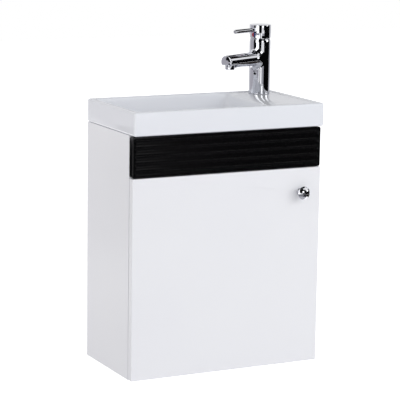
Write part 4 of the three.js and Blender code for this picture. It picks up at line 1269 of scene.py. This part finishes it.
@dataclass
class Trap:
    """Bottle trap under the waste, with its outlet pipe to the wall."""

    centre: Pair = WASTE_AXIS
    outlet_z: float = 345.3
    ribs: int = 30
    rib_depth: float = 0.9

    def nut(
        self, name: str, radius: float, bore: float, ends: Pair, place: Matrix,
    ) -> bpy.types.Object:
        """Makes a hand nut with grip ribs.

        Args:
            name: Name of the piece.
            radius: Radius over the ribs.
            bore: Radius of its bore.
            ends: Its two ends along its axis.
            place: Where its axis lies.

        Returns:
            The new nut.
        """
        low, high = ends
        outline = [(bore, low)] + eased([
            (bore, low, 0), (radius - 1, low, 0.6), (radius, low + 2.5, 0.8),
            (radius, high - 2.5, 0.8), (radius - 1.6, high, 0.8), (bore, high, 0)])[1:]
        return turned(name, outline, place, sides=self.ribs * 8,
                      grip=Grip(self.ribs, self.rib_depth, low + 2.0, high - 2.0))

    def body(self) -> bpy.types.Object:
        """Makes the chamber with its neck, dip tube and outlet stub.

        Returns:
            The trap's body as one piece.
        """
        place = upright(*self.centre)
        chamber = turned_mesh(eased([
            (14, 254.3, 0), (16, 254.3, 0.4), (16, 364.7, 0.5), (27.4, 364.7, 0.5),
            (27.4, 306.3, 0.3), (30, 306.3, 0.3), (30, 363.5, 3.0), (26, 367.3, 2.0),
            (19, 367.3, 1.5), (19, 377.3, 0.5), (20.9, 377.3, 0.3), (20.9, 380.3, 0.3),
            (16, 380.3, 0.3), (16, 367.3, 0.5), (14, 364.7, 0)]), place)
        along = facing_front(self.centre[0], self.outlet_z)
        stub = turned_mesh(eased([
            (13.5, 55, 0), (18, 55, 0.5), (18, 78.5, 0), (13.5, 78.5, 0)]), along, sides=72)
        bead = turned_mesh(eased([
            (17.5, 73, 0), (20, 75.4, 1.0), (20, 77.6, 1.0), (17.5, 79, 0)]), along, sides=72)
        return joined("trap_body_moulded", chamber, stub, bead)

    def cup(self) -> bpy.types.Object:
        """Makes the cup with its ribbed collar."""
        return turned("trap_cup_moulded", eased([
            (0, 226.3, 0), (23, 226.3, 4.5), (29, 232.3, 4.5), (29, 302.3, 1.5),
            (33.0, 305.3, 0.8), (34, 308.0, 0.8), (34, 321.3, 0.8), (32.6, 323.3, 0.8),
            (30.3, 323.3, 0.2), (30.3, 306.0, 0.2), (26, 306.0, 0.5), (26, 232.3, 3.0),
            (23, 229.3, 2.0), (0, 229.3, 0)]), upright(*self.centre), sides=self.ribs * 8,
            grip=Grip(self.ribs, self.rib_depth, 307.5, 321.8))

    def make(self) -> None:
        """Makes the trap, its nuts, the outlet pipe and the flange on the wall."""
        place = upright(*self.centre)
        along = facing_front(self.centre[0], self.outlet_z)
        pieces = {
            "trap_body": self.body(),
            "trap_cup": self.cup(),
            "trap_inlet_nut": self.nut("trap_inlet_nut_moulded", 27, 21.2, (371, 395), place),
            "trap_outlet_nut": self.nut(
                "trap_outlet_nut_moulded", 24, 18.3, (47.7, 68.7), along),
            "outlet_pipe": turned("outlet_pipe_extruded", eased([
                (13.5, 0, 0), (16, 0, 0.2), (16, 54.7, 0.5), (13.5, 54.7, 0)]), along),
            "wall_flange": turned("wall_flange_moulded", eased([
                (16.3, 0, 0), (33, 0, 0.3), (33, 2.0, 1.0), (26, 5.5, 8.0), (19, 9.0, 2.0),
                (16.3, 9.0, 0)]), along)}
        for node, piece in pieces.items():
            settle(piece, Body.CABINET, WHITE_PLASTIC, node)


@dataclass
class Tap:
    """Single-lever mixer tap: body with its spout, handle cap, lever and marks."""

    axis: Pair = TAP_AXIS
    turn: float = 25.0
    foot: float = 509.65
    recess_radius: float = 19.7
    recess_top: float = 511.1
    gasket_foot: float = 509.8
    column_radius: float = 21.0
    column_top: float = 619.05
    column_round: float = 0.9
    shoulder_height: float = 7.0
    shoulder_draw: float = 1.1
    well_radius: float = 17.8
    well: Pair = (596.0, 640.0)
    spout_z: float = 580.0
    spout_radius: float = 13.0
    spout_swell: float = 1.2
    spout_reach: float = 110.0
    spout_round: float = 3.0
    spout_dome: float = 90.0
    spout_dome_rise: float = 3.0
    spout_flat: float = 573.5
    spout_flat_from: float = -84.5
    blend: float = 9.0
    spout_flat_round: float = 1.6
    spout_end_round: float = 1.5
    hole_round: float = 0.7
    aerator_x: float = -96.7
    seat_radius: float = 9.6
    seat: Pair = (560.0, 578.0)
    grub_turn: float = 11.0
    grub_z: float = 551.1
    grub_hole: float = 2.3
    grub_depth: float = 4.0
    pivot_z: float = 600.0
    dome_radius: float = 28.71
    cap_foot: float = 620.6
    cap_top: float = 646.5
    lever_z: float = 637.0
    lever_radius: float = 4.0
    lever_root: float = 12.0
    lever_reach: float = 83.0
    cell: float = 0.8

    def place(self) -> Matrix:
        """Where the tap stands, with its spout along the local -X axis."""
        return upright(*self.axis) @ Matrix.Rotation(math.radians(self.turn), 4, "Z")

    def distance(self, spots: np.ndarray) -> np.ndarray:
        """Gives the distance to the tap body, in the tap's own directions.

        Below the well the form is solid metal: it is made for its outside.

        Args:
            spots: Points, in millimetres.

        Returns:
            Distance at each point, below 0 inside.
        """
        column = drum(
            spots, 2, (0, 0), self.column_radius, (self.foot, self.column_top),
            self.column_round)
        rise = np.clip(
            (spots[:, 2] - self.column_top) / self.shoulder_height + 1, 0, 1)
        column = np.maximum(column, np.where(
            spots[:, 2] > self.column_top - self.shoulder_height,
            np.hypot(spots[:, 0], spots[:, 1]) - self.column_radius
            + self.shoulder_draw * rise ** 2, DEEP_INSIDE))
        swell = self.spout_swell * np.clip(1 + spots[:, 0] / self.spout_reach, 0, 1)
        spout = drum(
            spots, 0, (0, self.spout_z), self.spout_radius + swell, (-self.spout_reach, 0),
            self.spout_round)
        dome = np.linalg.norm(
            spots - (self.spout_dome - self.spout_reach, 0, self.spout_z + self.spout_dome_rise),
            axis=1)
        spout = soft_max(spout, np.where(
            spots[:, 0] < -self.spout_reach / 2, dome - self.spout_dome, DEEP_INSIDE),
            self.spout_end_round)
        flat = np.maximum(
            spots[:, 2] - self.spout_flat, spots[:, 0] - self.spout_flat_from)
        spout = soft_max(spout, -flat, self.spout_flat_round)
        form = soft_min(column, spout, self.blend)
        well = drum(spots, 2, (0, 0), self.well_radius, self.well, 0.3)
        seat = drum(spots, 2, (self.aerator_x, 0), self.seat_radius, self.seat, 0.3)
        angle = math.radians(self.grub_turn)
        along = spots[:, 0] * math.cos(angle) + spots[:, 1] * math.sin(angle)
        across = -spots[:, 0] * math.sin(angle) + spots[:, 1] * math.cos(angle)
        hole = np.maximum(
            np.hypot(across, spots[:, 2] - self.grub_z) - self.grub_hole,
            along + self.column_radius - self.grub_depth)
        for room in (well, seat, hole):
            form = soft_max(form, -room, self.hole_round)
        recess = drum(spots, 2, (0, 0), self.recess_radius, (500, self.recess_top), 0.1)
        return np.maximum(form, -recess)

    def body(self) -> bpy.types.Object:
        """Makes the cast body: column and spout run together with a soft hollow."""
        reach = self.column_radius + 3
        return skin(
            "tap_body_cast", self.distance, (-self.spout_reach - 2, -reach, self.foot - 1.6),
            (reach, reach, self.column_top + 2), self.cell, self.place())

    def cap(self) -> bpy.types.Object:
        """Makes the handle cap, hollow below to clear the dome.

        Returns:
            The cap.
        """
        radius = self.column_radius
        outline: Outline = []
        for k in range(13):
            out = (radius - 1) * k / 12
            outline.append((out, self.pivot_z + math.sqrt(self.dome_radius ** 2 - out ** 2)))
        outline += eased([
            (radius - 1, self.cap_foot, 0), (radius, self.cap_foot, 0.35),
            (radius, self.cap_top, 0.9), (radius - 2.5, self.cap_top, 0), (0, self.cap_top, 0)])
        return turned("handle_cap_turned", outline, self.place(), sides=128)

    def lever(self) -> bpy.types.Object:
        """Makes the lever pin with its rounded tip.

        Returns:
            The lever pin.
        """
        along = self.place() @ Matrix.Translation((0, 0, self.lever_z)) \
            @ Matrix.Rotation(math.radians(-90), 4, "Y")
        radius = self.lever_radius
        return turned("lever_pin_turned", eased([
            (0, self.lever_root, 0), (radius, self.lever_root, 0.3),
            (radius, self.lever_reach, 3.0), (0, self.lever_reach, 0)], steps=9), along, sides=48)

    def aerator(self) -> bpy.types.Object:
        """Makes the aerator's chrome sleeve."""
        place = self.place() @ Matrix.Translation((self.aerator_x, 0, 0))
        return turned("aerator_sleeve", eased([
            (7.7, 564.6, 0.5), (9.3, 564.6, 0.8), (9.3, 577.7, 0.4), (7.7, 577.7, 0.2),
            (7.7, 564.9, 0)]), place, sides=72)

    def spray_face(self) -> bpy.types.Object:
        """Makes the aerator's ringed insert.

        Returns:
            The insert.
        """
        place = self.place() @ Matrix.Translation((self.aerator_x, 0, 0))
        face, sunk, back = 566.0, 567.6, 574.0
        outline: Outline = [(0, face)]
        for k in range(5):
            start = 0.8 + 1.35 * k
            outline += [(start, face), (start + 0.3, sunk), (start + 0.8, sunk),
                        (start + 1.1, face)]
        outline += [(7.6, face), (7.6, back), (0, back)]
        return turned("aerator_insert", outline, place, sides=48)

    def make(self) -> None:
        """Makes the tap's shown pieces and dresses the ones inside."""
        settle(self.body(), Body.CABINET, CHROME, "tap_body")
        settle(self.cap(), Body.HANDLE, CHROME, "handle_cap")
        settle(self.lever(), Body.HANDLE, CHROME, "lever_pin")
        settle(self.aerator(), Body.CABINET, CHROME, "aerator")
        settle(self.spray_face(), Body.CABINET, GREY_PLASTIC)
        for node, finish in (
                ("hot_mark", HOT_ENAMEL), ("cold_mark", COLD_ENAMEL), ("cartridge_nut", CHROME),
                ("cartridge_housing", WHITE_PLASTIC), ("cartridge_rotor", GREY_PLASTIC),
                ("cartridge_stem", TURNED_BRASS), ("body_grub_screw", OXIDE_STEEL)):
            dress_node(node, finish)
        settle(turned("tap_gasket_moulded", eased([
            (17.6, self.gasket_foot, 0), (19.4, self.gasket_foot, 0.2),
            (19.4, self.gasket_foot + 1, 0.2), (17.6, self.gasket_foot + 1, 0)]), self.place()),
            Body.CABINET, BLACK_RUBBER, "tap_gasket")
        dress_node("fixing_stud", ZINC_STEEL)
        dress_node("clamp_washer", BLACK_RUBBER)
        dress_node("clamp_plate", ZINC_STEEL, 0.2)
        dress_node("fixing_nut", TURNED_BRASS, 0.3)


@dataclass
class Card:
    """One plain card that only reflections show, standing round the tap's axis.

    It runs from start to end in degrees round the axis, 0 at the front and 90 at the
    right. Its lower edge stands at low and inner, its upper edge at high and outer:
    height in the frame and distance from the axis, in metres.
    """

    name: str
    start: float
    end: float
    low: float
    high: float
    colour: str
    inner: float = 2.5
    outer: float = 2.5
    glow: float = 1.0


@dataclass
class Studio:
    """Camera, lamps, floor and reflected cards, with sizes in metres."""

    eye: tuple[float, float, float] = (-1.589277, -3.259979, 0.548478)
    yaw: float = 0.465
    pitch: float = 0.185
    roll: float = 0.015
    lens: float = 166.53
    sensor: float = 36.0
    clip: Pair = (0.05, 60.0)
    floor_z: float = -0.777
    floor_half: float = 9.0
    floor_colour: str = "#ECECEE"
    floor_glow: float = 0.7
    lamp_aim: tuple[float, float, float] = (0.0, -0.1, 0.0)
    ambient: float = 0.76
    ceiling_z: float = 1.2
    ceiling_half: float = 1.1
    ceiling_glow: float = 0.42
    card_centre: Pair = (0.155, -0.038)
    cards: list[Card] = field(default_factory=lambda: [
        Card("card_light_behind", -207.0, -150.0, -0.76, 1.2, "#E0E0E4"),
        Card("card_pale_behind_left", -150.0, -79.0, -0.76, 1.2, "#B9B7BE"),
        Card("card_dark_by_board", -122.0, -99.0, -0.28, -0.041, "#101014", 0.63, 0.63),
        Card("card_dark_left", -101.0, -66.0, -0.095, 0.03, "#101014", 2.45, 2.45),
        Card("card_dark_left_mid", -100.0, -79.0, 0.03, 1.2, "#101014", 2.45, 2.45),
        Card("card_dark_left_low", -97.0, -82.0, -0.16, -0.095, "#101014", 2.45, 2.45),
        Card("card_dark_left_foot", -97.0, -84.0, -0.76, -0.26, "#101014", 2.45, 2.45),
        Card("card_grey_left_front", -79.0, -36.0, -0.236, -0.1, "#A4A3AA"),
        Card("strip_left_low", -66.0, -48.0, -0.76, -0.245, WHITE, glow=2.6),
        Card("strip_left_high", -66.0, -48.0, -0.09, 2.4, WHITE, glow=2.6),
        Card("card_dark_front", -40.0, -12.0, -0.1, 0.35, "#0C0C0E"),
        Card("card_dark_front_high", -46.0, -10.0, 0.35, 2.9, "#0C0C0E"),
        Card("card_dark_front_top", -10.0, 9.0, 0.8, 2.9, "#0C0C0E"),
        Card("card_dark_front_stand", -27.0, -20.0, -0.76, -0.1, "#0C0C0E"),
        Card("card_pale_front", -6.0, 17.0, -0.76, -0.1, "#A6A6AD"),
        Card("card_dark_low", -12.0, 17.5, -0.76, -0.25, "#0A0A0B", 2.45, 2.45),
        Card("card_dark_right", 17.0, 92.6, -0.76, 0.8, "#08080A"),
        Card("card_pale_right", 92.6, 135.0, -0.76, 1.0, "#CFCFD4"),
        Card("strip_deck_middle", -6.0, 9.0, 0.25, 0.8, WHITE, 2.4, 2.4, glow=2.4),
        Card("strip_deck_right", 46.0, 72.0, 0.25, 0.7, WHITE, 2.4, 2.4, glow=2.4),
        Card("card_backdrop", 135.0, 157.0, -0.76, 1.0, "#E6E6E9"),
        Card("card_grey_above", 9.0, 34.0, 0.8, 1.6, "#343436"),
        Card("card_grey_above_left", 9.0, 17.0, 0.06, 0.8, "#343436"),
        Card("card_dark_high", 78.0, 108.0, 1.65, 2.9, "#0C0C0C"),
        Card("card_dark_high_right", 108.0, 148.0, 1.3, 2.9, "#0C0C0C"),
        Card("card_dark_overhead", -180.0, 180.0, 2.95, 2.95, "#141416", 0.0, 2.5),
        Card("card_grey_ground_right", 5.0, 55.0, -0.765, -0.765, "#3A3A3E", 0.8, 2.4),
        Card("card_pale_ground_near", -150.0, 55.0, -0.765, -0.765, "#C2C2C8", 0.2, 0.8),
        Card("card_dark_ground", 55.0, 125.0, -0.765, -0.765, "#2A2420", 1.0, 2.4),
        Card("card_grey_ground", -150.0, 5.0, -0.765, -0.765, "#8A8A90", 0.8, 2.4),
    ])

    def camera(self) -> None:
        """Makes the camera at the photograph's angle."""
        data = bpy.data.cameras.new("camera")
        data.lens = self.lens
        data.sensor_width = self.sensor
        data.clip_start, data.clip_end = self.clip
        made = link(bpy.data.objects.new("camera", data))
        forward = Vector((
            math.sin(self.yaw) * math.cos(self.pitch),
            math.cos(self.yaw) * math.cos(self.pitch), -math.sin(self.pitch)))
        level = Vector((math.cos(self.yaw), -math.sin(self.yaw), 0))
        upward = level.cross(forward)
        right = math.cos(self.roll) * level + math.sin(self.roll) * upward
        top = -math.sin(self.roll) * level + math.cos(self.roll) * upward
        turn = Matrix((right, top, -forward)).transposed().to_4x4()
        made.matrix_world = Matrix.Translation(self.eye) @ turn
        bpy.context.scene.camera = made

    @staticmethod
    def shown_directly(tree: bpy.types.NodeTree) -> bpy.types.NodeSocket:
        """Adds nodes that give 1 for camera, glossy and transmission rays.

        Args:
            tree: Node tree that gets the nodes.

        Returns:
            Output with the 1 or 0.
        """
        path = add_node(tree, "ShaderNodeLightPath")
        first = add_node(tree, "ShaderNodeMath", {
            0: path.outputs["Is Camera Ray"], 1: path.outputs["Is Glossy Ray"]},
            operation="ADD")
        return add_node(tree, "ShaderNodeMath", {
            0: first.outputs[0], 1: path.outputs["Is Transmission Ray"]},
            operation="ADD", use_clamp=True).outputs[0]

    def world(self) -> None:
        """Makes the even light round the unit, seen as plain white."""
        world = bpy.data.worlds.new("studio")
        bpy.context.scene.world = world
        tree = fresh_tree(world)
        even, white = (
            add_node(tree, "ShaderNodeBackground", {"Color": linear(WHITE), "Strength": strength})
            for strength in (self.ambient, 1.0))
        mix = add_node(tree, "ShaderNodeMixShader", {
            0: self.shown_directly(tree), 1: even.outputs[0], 2: white.outputs[0]})
        add_node(tree, "ShaderNodeOutputWorld", {"Surface": mix.outputs[0]})

    @staticmethod
    def square(name: str, half: float, level: float) -> bpy.types.Object:
        """Makes a level square round the frame's origin.

        Args:
            name: Name of the square.
            half: Half the length of its side, in metres.
            level: Its height in the frame, in metres.

        Returns:
            The new object.
        """
        reach, z = half / MM, level / MM - UNDERSIDE
        corners = [(-reach, -reach, z), (reach, -reach, z), (reach, reach, z), (-reach, reach, z)]
        return new_object(name, corners, [[0, 1, 2, 3]])

    @staticmethod
    def shine(
        made: bpy.types.Object, name: str, colour: str, glow: float, *hidden: str,
    ) -> None:
        """Gives a card or the ceiling its own light and hides it from kinds of rays.

        Args:
            made: The card or ceiling.
            name: Name of its material.
            colour: Colour of its light.
            glow: Strength of its light.
            *hidden: Kinds of rays that don't see it.
        """
        material = bpy.data.materials.new(name)
        tree = fresh_tree(material)
        light = add_node(tree, "ShaderNodeEmission", {
            "Color": linear(colour), "Strength": glow})
        add_node(tree, "ShaderNodeOutputMaterial", {"Surface": light.outputs[0]})
        made.data.materials.append(material)
        for rays in ("camera", "shadow", "transmission", *hidden):
            setattr(made, f"visible_{rays}", False)

    def floor(self) -> None:
        """Makes the pale floor, which shows white and keeps the unit's shadow."""
        ground = self.square("studio_floor", self.floor_half, self.floor_z)
        if ground.data.polygons[0].normal.z < 0:
            ground.data.flip_normals()
        material = bpy.data.materials.new("floor_painted_matt")
        tree = fresh_tree(material)
        paint = add_node(tree, "ShaderNodeBsdfDiffuse", {"Color": linear(self.floor_colour)})
        share = add_node(tree, "ShaderNodeMath", {
            0: self.shown_directly(tree), 1: self.floor_glow}, operation="MULTIPLY")
        glow = add_node(tree, "ShaderNodeEmission", {
            "Color": linear(WHITE), "Strength": share.outputs[0]})
        both = add_node(tree, "ShaderNodeAddShader", {0: paint.outputs[0], 1: glow.outputs[0]})
        add_node(tree, "ShaderNodeOutputMaterial", {"Surface": both.outputs[0]})
        ground.data.materials.append(material)

    def stand_card(self, card: Card) -> None:
        """Stands one curved card, or lays a flat one, that only reflections show.

        Args:
            card: Its place round the tap's axis, its height and its colour.
        """
        points = []
        steps = 16
        for k in range(steps + 1):
            angle = math.radians(card.start + (card.end - card.start) * k / steps)
            for z, radius in ((card.low, card.inner), (card.high, card.outer)):
                x = self.card_centre[0] + math.sin(angle) * radius
                y = self.card_centre[1] - math.cos(angle) * radius
                points.append((x / MM, y / MM, z / MM - UNDERSIDE))
        faces = [[2 * k, 2 * k + 2, 2 * k + 3, 2 * k + 1] for k in range(steps)]
        made = new_object(card.name, points, faces)
        self.shine(made, card.name, card.colour, card.glow, "diffuse")

    def ceiling(self) -> None:
        """Hangs the grey ceiling, which dims the even light from straight above."""
        made = self.square("studio_ceiling", self.ceiling_half, self.ceiling_z)
        self.shine(made, "ceiling_grey", WHITE, self.ceiling_glow, "glossy")

    def lamp(
        self, name: str, place: tuple[float, float, float], size: float, power: float,
        colour: str = WHITE,
    ) -> None:
        """Hangs one square soft lamp that faces the unit.

        Args:
            name: Name of the lamp.
            place: Where it hangs, in metres.
            size: Length of its side in metres.
            power: Its power in watts.
            colour: Colour of its light.
        """
        data = bpy.data.lights.new(name, "AREA")
        data.shape = "SQUARE"
        data.size = size
        data.energy = power
        data.color = linear(colour)[:3]
        made = link(bpy.data.objects.new(name, data))
        made.location = place
        made.visible_glossy = False
        aim = Vector(self.lamp_aim) - Vector(place)
        made.rotation_euler = aim.to_track_quat("-Z", "Y").to_euler()

    def make(self) -> None:
        """Sets up the camera, the light, the floor and the cards."""
        self.camera()
        self.world()
        self.floor()
        for card in self.cards:
            self.stand_card(card)
        self.ceiling()
        self.lamp("lamp_front", (1.6, -4.3, 1.8), 4.2, 46.0)
        self.lamp("lamp_right", (2.6, -2.7, 1.1), 2.0, 23.0)
        self.lamp("lamp_left", (-3.2, -0.6, 0.9), 2.0, 17.0, "#FFF8F2")
        bpy.context.scene.view_settings.view_transform = "Standard"


def main() -> None:
    """Builds the studio and every sub-assembly."""
    logging.basicConfig(level=logging.INFO, format="%(name)s: %(message)s")
    Studio().make()
    for assembly in (Carcass(), Fascia(), Door(), Hinges(), Basin(), Waste(), Trap(), Tap()):
        LOG.info("%s", type(assembly).__name__)
        assembly.make()
    bpy.context.view_layer.update()


if __name__ == "__main__":
    main()
